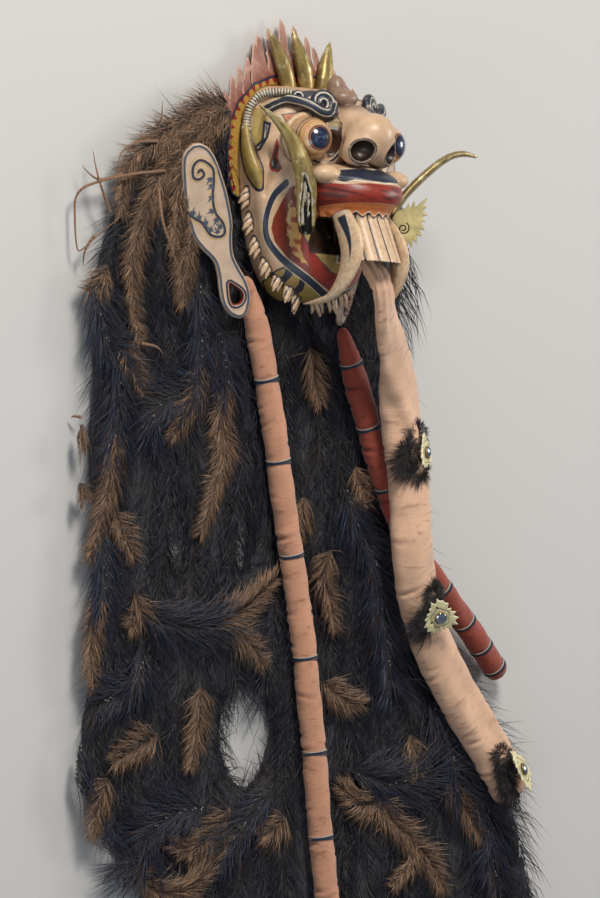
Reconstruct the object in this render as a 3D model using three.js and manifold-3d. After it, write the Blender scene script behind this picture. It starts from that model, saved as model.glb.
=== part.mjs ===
// A Balinese carved and painted demon mask of the Rangda kind, with its long stuffed tongue, two
// stuffed cloth rolls and a mantle of hair and palm fibre. It lies on its back, as it is laid down
// when nobody wears it: the mask looks up, its crest is towards +Y and the mantle is spread out flat.
// Millimetres, +Z up. The origin is on the mantle's underside, below the middle of the mask's rim.

import * as THREE from "three";
import { mergeVertices } from "three/addons/utils/BufferGeometryUtils.js";
import Module from "manifold-3d";

const wasm = await Module();
wasm.setup();

// Driving dimensions.
const MASK_HEIGHT = 279; // carved head, from the hairline to the underside of the jaw
const MASK_TURN_DEG = -3.5; // the mask lies a little askew on its mantle
const WALL = 20; // wood between the plain head and the hollow behind it
const TOOTH_WALL = 8;
const MAT_THICK = 20; // ground of the mantle, pressed flat by its own weight
const MAT_EDGE = 3;
const TRESS_WIDTH = 60;
const TRESS_THICK = 20;
const EYE_DIA = 54;
const EYE_REACH = 64; // the eyeball is a short barrel, longer than it is wide
const TUSK_WIDTH = 28;
const TUSK_THICK = 11;
const HORN_DIA = 25;
const HORN_SEAT = 3; // depth of a horn's foot in the forehead
const CREST_THICK = 3;
const CREST_LIFT = 0.2; // height of the crest plate above the mask's rim
const EAR_LENGTH = 241;
const EAR_THICK = 9;
const EAR_TILT_DEG = 30;
const LEATHER_THICK = 3;
const LEATHER_WIDTH = 52;
const LEATHER_HEIGHT = 74;
const TONGUE_WIDTH = 60;
const TONGUE_THICK = 40;
const ROLL_DIA = 34;
const BAND_RISE = 1.5; // thread bands stand this proud of a roll
const BAND_LENGTH = 7;
const TUFT_DIA = 62;
const TUFT_THICK = 10;
const PLATE_WIDTH = 52;
const PLATE_THICK = 2.5;
const GEM_DIA = 24;
const GAP = 0.3; // play between pieces that touch

const SMALLEST_CHIP = 1.1; // slivers that a cut leaves are merged into their faces below this

// The carving is drawn on a head 279 units high, and every face point scales with the real one.
const UNIT = MASK_HEIGHT / 279;
const point = (x, y, z) => new THREE.Vector3(x, y, z).multiplyScalar(UNIT);
const mirrored = (points) => points.map(([x, y, z]) => [-x, y, z]);
const radians = THREE.MathUtils.degToRad;

// Sections of the head from hairline to jaw: height, half width, depth in front of the rim.
const HEAD_SECTIONS = [
  [67, 30, 0],
  [66, 62, 25],
  [57, 84, 54],
  [34, 102, 82],
  [0, 112, 93],
  [-50, 111, 95],
  [-100, 104, 95],
  [-145, 91, 92],
  [-180, 72, 88],
  [-199, 54, 74],
  [-210, 34, 42],
  [-212, 18, 0],
];
const HEAD_GRID = [26, 20];
const HEAD_SQUARENESS = 0.86;
const HEAD_MIDDLE = -70;

// Rows of the upper jaw from under the nose to the tips of the teeth: height, half width, front.
const SNOUT_ROWS = [
  [-36, 52, 122],
  [-46, 66, 146],
  [-57, 73, 159],
  [-73, 75, 165],
  [-86, 68, 160],
  [-94, 60, 152],
  [-103, 58, 151],
  [-116, 59, 157],
  [-161, 63, 180],
];
const SNOUT_BACK = 60;
const TOOTH_TOP = -103;
const TOOTH_COUNT = 6;
const TOOTH_GROOVE = 5;
const TEETH_HALF = 46; // half the width of the row of front teeth

/** A geometry as a manifold solid. */
function solid(geometry) {
  const bare = geometry.clone();
  for (const name of Object.keys(bare.attributes)) {
    if (name !== "position") bare.deleteAttribute(name);
  }
  const merged = mergeVertices(bare, 1e-3);
  return new wasm.Manifold(
    new wasm.Mesh({
      numProp: 3,
      vertProperties: new Float32Array(merged.attributes.position.array),
      triVerts: new Uint32Array(merged.index.array),
    }),
  );
}

/** A manifold solid as a geometry with one normal for each face. */
function geometryOf(body) {
  const mesh = body.getMesh();
  const positions = new Float32Array(mesh.numVert * 3);
  for (let i = 0; i < mesh.numVert; i++) {
    const start = i * mesh.numProp;
    positions.set(mesh.vertProperties.subarray(start, start + 3), i * 3);
  }
  const geometry = new THREE.BufferGeometry();
  geometry.setAttribute("position", new THREE.BufferAttribute(positions, 3));
  geometry.setIndex(new THREE.BufferAttribute(mesh.triVerts, 1));
  const faceted = geometry.toNonIndexed();
  faceted.computeVertexNormals();
  return faceted;
}

/** A closed surface from a grid of points and one more point that closes its open edge. */
function closedGrid(columns, rows, at, closing) {
  const positions = [];
  const index = [];
  for (let j = 0; j <= rows; j++) {
    for (let i = 0; i <= columns; i++) positions.push(...at(i / columns, j / rows).toArray());
  }
  const id = (i, j) => j * (columns + 1) + i;
  for (let j = 0; j < rows; j++) {
    for (let i = 0; i < columns; i++) {
      const [a, b, c, d] = [id(i, j), id(i + 1, j), id(i + 1, j + 1), id(i, j + 1)];
      index.push(a, c, b, a, d, c);
    }
  }
  const centre = positions.length / 3;
  positions.push(...closing.toArray());
  const edge = [];
  for (let i = 0; i < columns; i++) edge.push(id(i, 0));
  for (let j = 0; j < rows; j++) edge.push(id(columns, j));
  for (let i = columns; i > 0; i--) edge.push(id(i, rows));
  for (let j = rows; j > 0; j--) edge.push(id(0, j));
  edge.forEach((a, k) => index.push(a, edge[(k + 1) % edge.length], centre));
  const geometry = new THREE.BufferGeometry();
  geometry.setAttribute("position", new THREE.Float32BufferAttribute(positions, 3));
  geometry.setIndex(index);
  return geometry;
}

/** Bends a geometry one unit long in y and one wide in x and z along a curve. */
function bend(geometry, curve, side, widthAt, thickAt) {
  const bent = geometry.clone();
  const place = bent.attributes.position;
  const p = new THREE.Vector3();
  for (let i = 0; i < place.count; i++) {
    p.fromBufferAttribute(place, i);
    const t = THREE.MathUtils.clamp(p.y + 0.5, 0, 1);
    const along = curve.getTangentAt(t);
    const across = side.clone().addScaledVector(along, -side.dot(along)).normalize();
    const up = across.clone().cross(along);
    const q = curve.getPointAt(t).addScaledVector(across, p.x * widthAt(t));
    q.addScaledVector(up, p.z * thickAt(t));
    place.setXYZ(i, q.x, q.y, q.z);
  }
  return bent;
}

/** A closed bar of oval section along a smooth line through face or mantle points. */
function bar(points, side, widthAt, thickAt, steps = 12, sides = 8) {
  const curve = new THREE.CatmullRomCurve3(points.map((p) => point(...p)));
  return bend(new THREE.CylinderGeometry(0.5, 0.5, 1, sides, steps), curve, side, widthAt, thickAt);
}

/** A bar's width at share t of its length, full in the middle and narrowing to the ends. */
const taper = (full, start, end, peak) => (t) =>
  full * (t < peak ? THREE.MathUtils.lerp(start, 1, Math.sin((t / peak) * (Math.PI / 2)))
    : THREE.MathUtils.lerp(end, 1, Math.cos(((t - peak) / (1 - peak)) * (Math.PI / 2))));

/** A ball with its own half sizes, on a face point. */
function ball([x, y, z], [a, b, c], segments = 10) {
  return new THREE.SphereGeometry(1, segments, Math.round(segments * 0.7))
    .scale(a * UNIT, b * UNIT, c * UNIT)
    .translate(x * UNIT, y * UNIT, z * UNIT);
}

/** A value read smoothly from a list of rows at share t of the list. */
function smoothRow(rows, t) {
  const at = THREE.MathUtils.clamp(t, 0, 1) * (rows.length - 1);
  const i = Math.min(Math.floor(at), rows.length - 2);
  const s = at - i;
  const row = (k) => rows[THREE.MathUtils.clamp(k, 0, rows.length - 1)];
  const [a, b, c, d] = [row(i - 1), row(i), row(i + 1), row(i + 2)];
  return b.map(
    (_, k) =>
      b[k] + 0.5 * s * (c[k] - a[k] + s * (2 * a[k] - 5 * b[k] + 4 * c[k] - d[k]
        + s * (3 * (b[k] - c[k]) + d[k] - a[k]))),
  );
}

/** A soft hump of height 1 round a place on the head: turn in degrees, and height. */
const hump = (turn, y, [turn0, y0], [turnWide, yWide]) =>
  Math.exp(-(((Math.abs(turn) - turn0) / turnWide) ** 2) - ((y - y0) / yWide) ** 2);

/** How far the carving stands out of the plain head, at a turn from the front and a height. */
function relief(turn, y) {
  const socket = -15 * hump(turn, y, [38, -4], [17, 27]);
  const cheekHollow = -15 * hump(turn, y, [50, -118], [12, 46]);
  const jawBand = 5 * hump(turn, y, [70, -105], [8, 75]);
  const brow = 7 * hump(turn, y, [28, 47], [24, 12]);
  const temple = -9 * hump(turn, y, [76, 12], [9, 34]);
  return socket + cheekHollow + jawBand + brow + temple;
}

/** A point on the head's surface, moved outwards by offset. u runs from ear to ear, v downwards. */
function headPoint(u, v, offset, carved) {
  const turn = (u * 2 - 1) * 90;
  const [y, halfWidth, depth] = smoothRow(HEAD_SECTIONS, v);
  const s = Math.sin(radians(turn));
  const c = Math.max(0, Math.cos(radians(turn)));
  const edge = Math.min(1, c * 4) * Math.min(1, 10 * v, 10 * (1 - v));
  const out = offset / UNIT + (carved ? relief(turn, y) * edge : 0);
  const squared = (value) => Math.sign(value) * Math.abs(value) ** HEAD_SQUARENESS;
  const x = (halfWidth + out) * squared(s);
  const z = Math.max(0, depth + out * Math.min(1, depth / 30)) * squared(c);
  return point(x, y + offset / UNIT * Math.cos(v * Math.PI), z);
}

/** The head as a full solid, flat behind. */
function headSolid(offset, carved, columns, rows) {
  return solid(
    closedGrid(columns, rows, (u, v) => headPoint(u, v, offset, carved), point(0, HEAD_MIDDLE, 0)),
  );
}

/** The upper jaw as a full solid, moved inwards by inset and running on downwards by drop. */
function snoutSolid(inset, drop, back, columns = 18) {
  const rows = SNOUT_ROWS.length - 1;
  const at = (u, v) => {
    const [y, halfWidth, front] = SNOUT_ROWS[Math.round(v * rows)];
    const turn = Math.PI * (u - 0.5);
    const x = (halfWidth - inset) * Math.sin(turn);
    const z = back + (front - inset - back) * Math.max(0, Math.cos(turn)) ** 0.8;
    return point(x, v === 1 ? y - drop : y, z);
  };
  return solid(closedGrid(columns, rows, at, point(0, -95, back)));
}

/** The upper jaw with the teeth in front only: below the gum its sides are open. */
function jawSolid() {
  const sides = SIDES.map(([, sign]) =>
    solid(new THREE.BoxGeometry(60, 120, 200).translate(sign * (TEETH_HALF + 30), TOOTH_TOP - 60, 100)
      .scale(UNIT, UNIT, UNIT)),
  );
  return sides.reduce((body, side) => body.subtract(side), snoutSolid(0, 0, SNOUT_BACK));
}

/** A flat plate of thickness through the z plane, from an outline and holes in x and y. */
function plate(outline, thick, holes = []) {
  const shape = new THREE.Shape(outline);
  holes.forEach((hole) => shape.holes.push(new THREE.Path(hole)));
  return new THREE.ExtrudeGeometry(shape, { depth: thick, bevelEnabled: false });
}

const ACROSS_VIEW_RIGHT = new THREE.Vector3(1, 0, 1).normalize(); // the near tusk's broad side
const sideFor = (sign) => new THREE.Vector3(-sign, 0, 1).normalize();
const SIDES = [
  ["right", -1],
  ["left", 1],
];

/** The eyeball on one side: a barrel that stares forwards and a little outwards. */
function eyeGeometry(sign, grow = 0) {
  const radius = EYE_DIA / 2 + grow;
  const ellipsoid = new THREE.SphereGeometry(1, 12, 8);
  ellipsoid.scale(radius, radius, EYE_REACH / 2 + grow);
  ellipsoid.rotateY(sign * radians(16));
  return ellipsoid.translate(sign * 66 * UNIT, -4 * UNIT, 84 * UNIT);
}

// The two tusks were bent by hand and don't match: the right one sweeps back over the eye.
const TUSK_LINES = {
  right: [
    [-82, -126, 102],
    [-85, -100, 102],
    [-88, -63, 103],
    [-95, -33, 97],
    [-105, -5, 88],
    [-123, 18, 77],
    [-150, 36, 68],
  ],
  left: [
    [78, -98, 93],
    [99, -66, 99],
    [125, -36, 111],
    [152, -15, 119],
    [178, -7, 121],
    [205, -9, 121],
  ],
};

/** One tusk, a curved blade that tapers to its tip. */
function tuskGeometry(name, grow = 0) {
  const side = name === "right" ? ACROSS_VIEW_RIGHT : sideFor(1);
  const width = taper(TUSK_WIDTH, 0.72, 0.1, 0.45);
  const thick = taper(TUSK_THICK, 0.8, 0.25, 0.4);
  return bar(TUSK_LINES[name], side, (t) => width(t) + grow, (t) => thick(t) + grow, 10, 6);
}

// The fangs beside the front teeth: the right one curls back below the jaw, the left one hangs.
const FANG_LINES = {
  right: [
    [-47, -103, 130],
    [-51, -134, 152],
    [-54, -160, 158],
    [-56, -189, 147],
    [-58, -210, 124],
    [-61, -219, 78],
  ],
  left: [
    [47, -103, 112],
    [50, -134, 134],
    [52, -160, 141],
    [54, -184, 136],
    [56, -203, 124],
  ],
};
const FANG_WIDTHS = { right: 41, left: 30 };

/** One fang, a flat blade. */
function fangSolid(name) {
  const side = new THREE.Vector3(0, 0.35, 1).normalize();
  const width = taper(FANG_WIDTHS[name], 0.8, name === "right" ? 0.06 : 0.4, 0.3);
  return solid(bar(FANG_LINES[name], side, width, taper(11, 0.9, 0.3, 0.4), 9, 6));
}

const HORN_LINES = {
  right: [[-37, 60, 14], [-45, 84, 13], [-58, 114, 10], [-75, 138, 8]],
  middle: [[-4, 63, 13], [-9, 88, 12], [-18, 114, 10], [-30, 140, 8]],
  left: [[23, 60, 14], [28, 84, 13], [33, 108, 10], [39, 130, 8]],
};

/** One horn of the forehead, its foot sunk into the wood. */
function hornGeometry(name, grow = 0) {
  const [foot, next, ...rest] = HORN_LINES[name].map((p) => point(...p));
  const sunk = foot.clone().addScaledVector(foot.clone().sub(next).normalize(), HORN_SEAT + grow);
  const curve = new THREE.CatmullRomCurve3([sunk, foot, next, ...rest]);
  const width = taper(HORN_DIA, 0.72, 0.06, 0.35);
  const thick = taper(HORN_DIA * 0.68, 0.8, 0.08, 0.35);
  const rod = new THREE.CylinderGeometry(0.5, 0.5, 1, 8, 7);
  const side = new THREE.Vector3(1, 0, 0);
  return bend(rod, curve, side, (t) => width(t) + 2 * grow, (t) => thick(t) + 2 * grow);
}

/** The short pointed curls along the edge of the jaw on one side. */
function jawCurls(sign) {
  const count = 9;
  const curls = [];
  for (let k = 0; k < count; k++) {
    const share = k / (count - 1);
    const v = 0.51 + 0.44 * share;
    const u = 0.5 + sign * (0.46 - 0.27 * share ** 2.2);
    const foot = headPoint(u, v, -5, false);
    const tip = headPoint(u + sign * 0.01, Math.min(v + 0.02, 1), 10, false);
    tip.y -= 5 * UNIT;
    tip.z = Math.max(tip.z - 4 * UNIT, 5 * UNIT);
    const curve = new THREE.CatmullRomCurve3([foot, foot.clone().lerp(tip, 0.5), tip]);
    const cone = new THREE.CylinderGeometry(0.1, 0.5, 1, 4, 1);
    const side = new THREE.Vector3(0, 0.6, 1).normalize();
    curls.push(solid(bend(cone, curve, side, () => 20 * UNIT, () => 14 * UNIT)));
  }
  return curls;
}

/** The brow on one side: a fat line that runs inwards to a ring-shaped scroll over the nose. */
function browSolids(sign) {
  const line = [
    [-94, 32, 46],
    [-82, 42, 62],
    [-64, 36, 80],
    [-48, 28, 89],
  ];
  const points = sign < 0 ? line : mirrored(line);
  const side = new THREE.Vector3(sign * 0.35, 0.9, 0.3).normalize();
  const arm = solid(bar(points, side, taper(13, 0.4, 0.8, 0.6), () => 15 * UNIT, 7, 5));
  const scroll = new THREE.TorusGeometry(13 * UNIT, 6 * UNIT, 5, 9);
  scroll.rotateX(-radians(12)).rotateY(sign * radians(24));
  scroll.translate(sign * 45 * UNIT, 42 * UNIT, 81 * UNIT);
  return [arm, solid(scroll), solid(ball([sign * 45, 42, 82], [6, 6, 7], 6))];
}

/** The outline of the mouth's opening on the head, as turn in degrees and height. */
const MOUTH_EDGE = [
  [0, -60],
  [28, -62],
  [32, -84],
  [32, -108],
  [28, -132],
  [21, -154],
  [11, -168],
  [0, -172],
];

/** The solid that opens the mouth through the head. */
function mouthCutter() {
  const half = MOUTH_EDGE.slice(1, -1);
  const ring = [...MOUTH_EDGE, ...half.reverse().map(([turn, y]) => [-turn, y])];
  const onRay = ([turn, y], reach) =>
    point(reach * 1.2 * Math.sin(radians(turn)), y, reach * Math.cos(radians(turn)));
  const columns = ring.length;
  const geometry = new THREE.BufferGeometry();
  const positions = ring.flatMap((p) => [...onRay(p, 45).toArray(), ...onRay(p, 150).toArray()]);
  positions.push(...point(0, -120, 45).toArray(), ...point(0, -120, 150).toArray());
  const index = [];
  for (let k = 0; k < columns; k++) {
    const [a, b] = [2 * k, 2 * ((k + 1) % columns)];
    index.push(a, b, b + 1, a, b + 1, a + 1, a, 2 * columns, b, a + 1, b + 1, 2 * columns + 1);
  }
  geometry.setAttribute("position", new THREE.Float32BufferAttribute(positions, 3));
  geometry.setIndex(index);
  const body = solid(geometry);
  return body.volume() < 0 ? solid(flipped(geometry)) : body;
}

/** The same geometry with its faces turned round. */
function flipped(geometry) {
  const turned = geometry.clone();
  const index = turned.index;
  for (let i = 0; i < index.count; i += 3) {
    const [b, c] = [index.getX(i + 1), index.getX(i + 2)];
    index.setX(i + 1, c);
    index.setX(i + 2, b);
  }
  return turned;
}

/** Narrow cuts that part the front teeth. */
function toothGrooves() {
  const grooves = [];
  for (let k = 1; k < TOOTH_COUNT; k++) {
    const turn = radians(-48 + (96 * k) / TOOTH_COUNT);
    const at = (y, halfWidth, front) =>
      point(halfWidth * Math.sin(turn), y,
        SNOUT_BACK + (front - SNOUT_BACK) * Math.cos(turn) ** 0.8 + TOOTH_GROOVE * 0.15);
    const curve = new THREE.LineCurve3(at(TOOTH_TOP, 58, 151), at(-175, 64, 187));
    const rod = new THREE.CylinderGeometry(0.5, 0.5, 1, 4, 1);
    const out = new THREE.Vector3(Math.sin(turn), 0, Math.cos(turn));
    grooves.push(solid(bend(rod, curve, out, () => TOOTH_GROOVE, () => TOOTH_GROOVE * 0.7)));
  }
  return grooves;
}

/** The nose, its wings, the bridge, the forehead knob and the bulbs on the cheeks. */
function faceLumps() {
  const lumps = [
    ball([0, 3, 125], [32, 30, 34], 12),
    ball([0, 21, 98], [24, 23, 24], 8),
    ball([0, 55, 77], [19, 14, 17], 8),
    ball([-2, 67, 64], [11, 17, 11], 8),
    ball([0, -6, 80], [54, 40, 30]),
  ];
  for (const [, sign] of SIDES) {
    lumps.push(ball([sign * 23, -17, 128], [25, 21, 26]));
    lumps.push(ball([sign * 63, -50, 114], [21, 12, 15], 8));
  }
  return lumps.map(solid);
}

/** The gilded crescent on one temple. */
function templeSolid(sign) {
  const line = [
    [-106, -66, 30],
    [-111, -46, 25],
    [-114, -22, 18],
    [-114, 0, 13],
    [-111, 20, 11],
  ];
  const points = sign < 0 ? line : mirrored(line);
  const side = new THREE.Vector3(sign * -0.4, 0.1, 1).normalize();
  return solid(bar(points, side, taper(30, 0.6, 0.25, 0.25), taper(18, 0.7, 0.4, 0.25), 7, 6));
}

/** The striped cord that arches over one temple. */
function cordSolid(sign) {
  const line = [
    [-111, 18, 11],
    [-107, 38, 15],
    [-96, 51, 24],
    [-82, 54, 38],
    [-70, 51, 54],
  ];
  const points = sign < 0 ? line : mirrored(line);
  return solid(bar(points, new THREE.Vector3(0, 0.2, 1), () => 10 * UNIT, () => 10 * UNIT, 6, 5));
}

/** The carved and hollowed mask. */
function maskSolid(cuts) {
  let wood = headSolid(0, true, ...HEAD_GRID);
  wood = wasm.Manifold.union([wood, ...faceLumps()]);
  wood = wood.subtract(headSolid(-WALL, false, 14, 10).translate([0, 0, -GAP * 4]));
  wood = wood.subtract(mouthCutter());
  wood = wasm.Manifold.union([wood, jawSolid()]);
  const mouthRoof = -84 * UNIT;
  wood = wood.subtract(
    snoutSolid(TOOTH_WALL, 20, 20, 12).intersect(
      solid(new THREE.BoxGeometry(400, 400, 400).translate(0, mouthRoof - 200, 0)),
    ),
  );
  for (const [, sign] of SIDES) {
    const nostril = ball([sign * 28, -19, 146], [15, 12, 17], 8);
    wood = wood.subtract(solid(nostril));
  }
  for (const groove of toothGrooves()) wood = wood.subtract(groove);
  const added = SIDES.flatMap(([name, sign]) => [
    fangSolid(name),
    ...browSolids(sign),
    templeSolid(sign),
    cordSolid(sign),
    ...jawCurls(sign),
  ]);
  wood = wasm.Manifold.union([wood, ...added]);
  for (const cut of cuts) wood = wood.subtract(cut);
  const flatBack = new THREE.BoxGeometry(600, 600, 400).translate(0, 0, 200);
  wood = wood.intersect(solid(flatBack));
  const bodies = wood.asOriginal().simplify(SMALLEST_CHIP).decompose();
  return bodies.reduce((a, b) => (a.volume() > b.volume() ? a : b));
}

// Tips of the crest's flames, from the right temple over the top: place across, and height.
const FLAMES = [
  [-146, 50], [-135, 74], [-122, 88], [-106, 101], [-92, 121], [-86, 130], [-66, 141], [-42, 154],
  [-19, 147], [3, 135], [15, 121], [34, 106], [52, 90], [70, 82], [90, 72], [110, 60], [130, 42],
];
const CREST_FOOT = 0.5; // how far down the head, from the top, the crest reaches

/** The outline of the crest plate with its flames. */
function crestOutline() {
  const flameCount = FLAMES.length;
  const outline = [new THREE.Vector2(-122, -78), new THREE.Vector2(-138, -30)];
  outline.push(new THREE.Vector2(-140, 14));
  FLAMES.forEach(([x, y], k) => {
    const arc = Math.PI * (1 - (k + 0.5) / flameCount);
    const valley = (turn) => new THREE.Vector2(128 * Math.cos(turn), 2 + 82 * Math.sin(turn));
    const half = Math.PI / flameCount / 2;
    const start = valley(arc + half * 0.9);
    const end = valley(arc - half * 0.9);
    const tip = new THREE.Vector2(x, y);
    const lean = Math.sign(x || 1) * 3;
    outline.push(start);
    outline.push(start.clone().lerp(tip, 0.55).add(new THREE.Vector2(lean - 3, 2)));
    outline.push(tip);
    outline.push(end.clone().lerp(tip, 0.5).add(new THREE.Vector2(lean + 3, -2)));
    if (k === flameCount - 1) outline.push(end);
  });
  outline.push(new THREE.Vector2(140, 14), new THREE.Vector2(138, -30));
  outline.push(new THREE.Vector2(122, -78));
  outline.forEach((p) => p.multiplyScalar(UNIT));
  const steps = 9;
  for (let k = 0; k <= 2 * steps + 1; k++) {
    const v = (CREST_FOOT * Math.abs(k - steps - 0.5)) / (steps + 0.5);
    const { x, y } = headPoint(k <= steps ? 1 : 0, v, GAP * 2.5, false);
    outline.push(new THREE.Vector2(x, y));
  }
  return outline;
}

/** The crest: a leather plate round the rim, cut into flames and leaning back above. */
function crestGeometry(grow = 0) {
  const flat = plate(crestOutline().reverse(), CREST_THICK + 2 * grow);
  const place = flat.attributes.position;
  for (let i = 0; i < place.count; i++) {
    const above = Math.max(0, place.getY(i) - 80 * UNIT);
    place.setZ(i, place.getZ(i) + CREST_LIFT - grow - 0.12 * above);
  }
  return flat;
}

// Half widths of an ear down its length: distance from the top, outer edge, inner edge.
const EAR_ROWS = [
  [0, -3, 3], [5, -14, 10], [14, -22, 17], [34, -28, 22], [74, -35, 24], [114, -36, 21],
  [135, -29, 15], [156, -18, 11], [175, -17, 14], [195, -20, 19], [215, -21, 19], [230, -16, 13],
  [238, -8, 7], [241, -2, 2],
];
const EAR_HOLE = [[192, -4], [204, 6], [213, 8], [220, 2], [219, -6], [208, -7]];

/** One ear: a slightly dished board with a drop-shaped hole in its lobe, lying along -Y. */
function earGeometry(sign) {
  const share = EAR_LENGTH / 241;
  const outer = EAR_ROWS.map(([along, low]) => new THREE.Vector2(low, -along));
  const inner = EAR_ROWS.map(([along, , high]) => new THREE.Vector2(high, -along));
  const outline = [...outer, ...inner.reverse()].map((p) => p.multiplyScalar(share));
  const hole = EAR_HOLE.map(([along, x]) => new THREE.Vector2(x, -along).multiplyScalar(share));
  const board = plate(outline, EAR_THICK, [hole]);
  board.translate(0, 0, -EAR_THICK / 2);
  return sign < 0 ? board : geometryOf(solid(board).mirror([1, 0, 0]));
}

/** The gilded leather flame at the left corner of the mouth: jagged outside, with a root tab. */
function leatherOutline() {
  const outline = [];
  const teeth = 11;
  for (let k = 0; k <= teeth * 2; k++) {
    const turn = radians(-125 + (225 * k) / (teeth * 2));
    const reach = k % 2 ? 0.5 : 0.36;
    outline.push(new THREE.Vector2(
      LEATHER_WIDTH * (0.02 + reach * Math.cos(turn)),
      LEATHER_HEIGHT * reach * Math.sin(turn) * 1.05,
    ));
  }
  outline.push(new THREE.Vector2(-LEATHER_WIDTH * 0.3, LEATHER_HEIGHT * 0.12));
  outline.push(new THREE.Vector2(-LEATHER_WIDTH * 0.3, -LEATHER_HEIGHT * 0.18));
  return outline;
}

/** A matrix that sets a plate's x, y and z along given directions, at a place. */
function setAlong(x, y, z, origin) {
  return new THREE.Matrix4().makeBasis(x, y, z).setPosition(origin);
}

/** The gilded leather flame where it stands. */
function leatherGeometry(grow = 0) {
  const flame = plate(leatherOutline(), LEATHER_THICK + grow * 2);
  flame.translate(0, 0, -LEATHER_THICK / 2 - grow);
  const across = ACROSS_VIEW_RIGHT.clone();
  const facing = new THREE.Vector3(-1, 0, 1).normalize();
  const up = new THREE.Vector3(0, 1, 0);
  return flame.applyMatrix4(setAlong(across, up, facing, point(92, -104, 116)));
}

// Where the middle of the tongue runs, out of the mouth, over the jaw and down onto the mantle.
const TONGUE_LINE = [
  [2, -128, 80], [3, -158, 122], [7, -183, 139], [17, -206, 137], [38, -236, 121],
  [76, -274, 94], [106, -316, 74], [122, -350, 63], [131, -385, 59], [140, -430, 58],
  [146, -482, 58], [150, -532, 57], [176, -592, 42], [220, -660, 27], [272, -728, 24],
  [328, -793, 22], [372, -846, 22],
];

/** The tongue's curve. */
const tongueCurve = () =>
  new THREE.CatmullRomCurve3(TONGUE_LINE.map((p) => point(...p)), false, "centripetal");

/** The tongue, a stuffed leather tube, pinched where it leaves the mouth. */
function tongueGeometry(grow = 0) {
  const rod = new THREE.CylinderGeometry(0.5, 0.5, 1, 9, 27);
  const swell = (t) => THREE.MathUtils.smoothstep(t, 0.1, 0.36);
  const close = (t) => (t > 0.975 ? 0.8 : 1);
  const width = (t) => TONGUE_WIDTH * THREE.MathUtils.lerp(0.5, 1, swell(t)) * close(t) + grow;
  const thick = (t) => TONGUE_THICK * THREE.MathUtils.lerp(0.5, 1, swell(t)) * close(t) + grow;
  return bend(rod, tongueCurve(), new THREE.Vector3(1, 0.2, 0).normalize(), width, thick);
}

// Each ornament of the tongue, at its share of the tongue's length.
const ORNAMENTS = [0.425, 0.66, 0.955];

/** The frame of an ornament on the top of the tongue. */
function ornamentFrame(share) {
  const curve = tongueCurve();
  const along = curve.getTangentAt(share).negate();
  const flat = new THREE.Vector3(1, 0.2, 0).normalize();
  const across = flat.addScaledVector(along, -flat.dot(along)).normalize();
  const up = across.clone().cross(along);
  return setAlong(across, along, up, curve.getPointAt(share));
}

/** A round pad cut to the tongue below it. */
function tuftGeometry() {
  const profile = [
    [0, -TONGUE_THICK * 0.2], [0.5, -TONGUE_THICK * 0.2], [0.5, TUFT_THICK * 0.4],
    [0.42, TUFT_THICK], [0, TUFT_THICK],
  ];
  const points = profile.map(([r, h]) => new THREE.Vector2(r * TUFT_DIA, h + TONGUE_THICK / 2));
  return new THREE.LatheGeometry(points, 10).rotateX(Math.PI / 2);
}

/** A jagged leather plate on a tuft. */
function plateGeometry() {
  const outline = [];
  const teeth = 8;
  for (let k = 0; k < teeth * 2; k++) {
    const turn = (Math.PI * k) / teeth;
    const reach = (k % 2 ? 0.34 : 0.5) * PLATE_WIDTH;
    outline.push(new THREE.Vector2(reach * 0.8 * Math.cos(turn), reach * 1.25 * Math.sin(turn)));
  }
  return plate(outline, PLATE_THICK).translate(0, 0, TONGUE_THICK / 2 + TUFT_THICK + GAP);
}

/** A round mirror stone on a plate. */
function gemGeometry() {
  const radius = GEM_DIA / 2;
  const profile = [
    [0, 0], [radius, 0], [radius, 3], [radius * 0.75, 6.5], [radius * 0.35, 8.5], [0, 9],
  ];
  const base = TONGUE_THICK / 2 + TUFT_THICK + PLATE_THICK + GAP * 2;
  const points = profile.map(([r, h]) => new THREE.Vector2(r, h + base));
  return new THREE.LatheGeometry(points, 9).rotateX(Math.PI / 2);
}

// Where the two rolls lie on the mantle, seen from above.
const ROLL_LINES = {
  right: [
    [-119, -178], [-110, -204], [-98, -240], [-80, -312], [-63, -390], [-49, -468], [-36, -530],
    [-22, -598], [-10, -665], [-2, -728], [8, -795], [14, -858], [22, -920], [31, -985], [38, -1048],
  ],
  left: [
    [58, -244], [78, -296], [97, -345], [117, -395], [138, -445], [166, -497], [201, -543],
    [243, -586], [306, -640, -9], [372, -700, -19],
  ],
};
const ROLL_BANDS = { right: 11, left: 7 };

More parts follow.
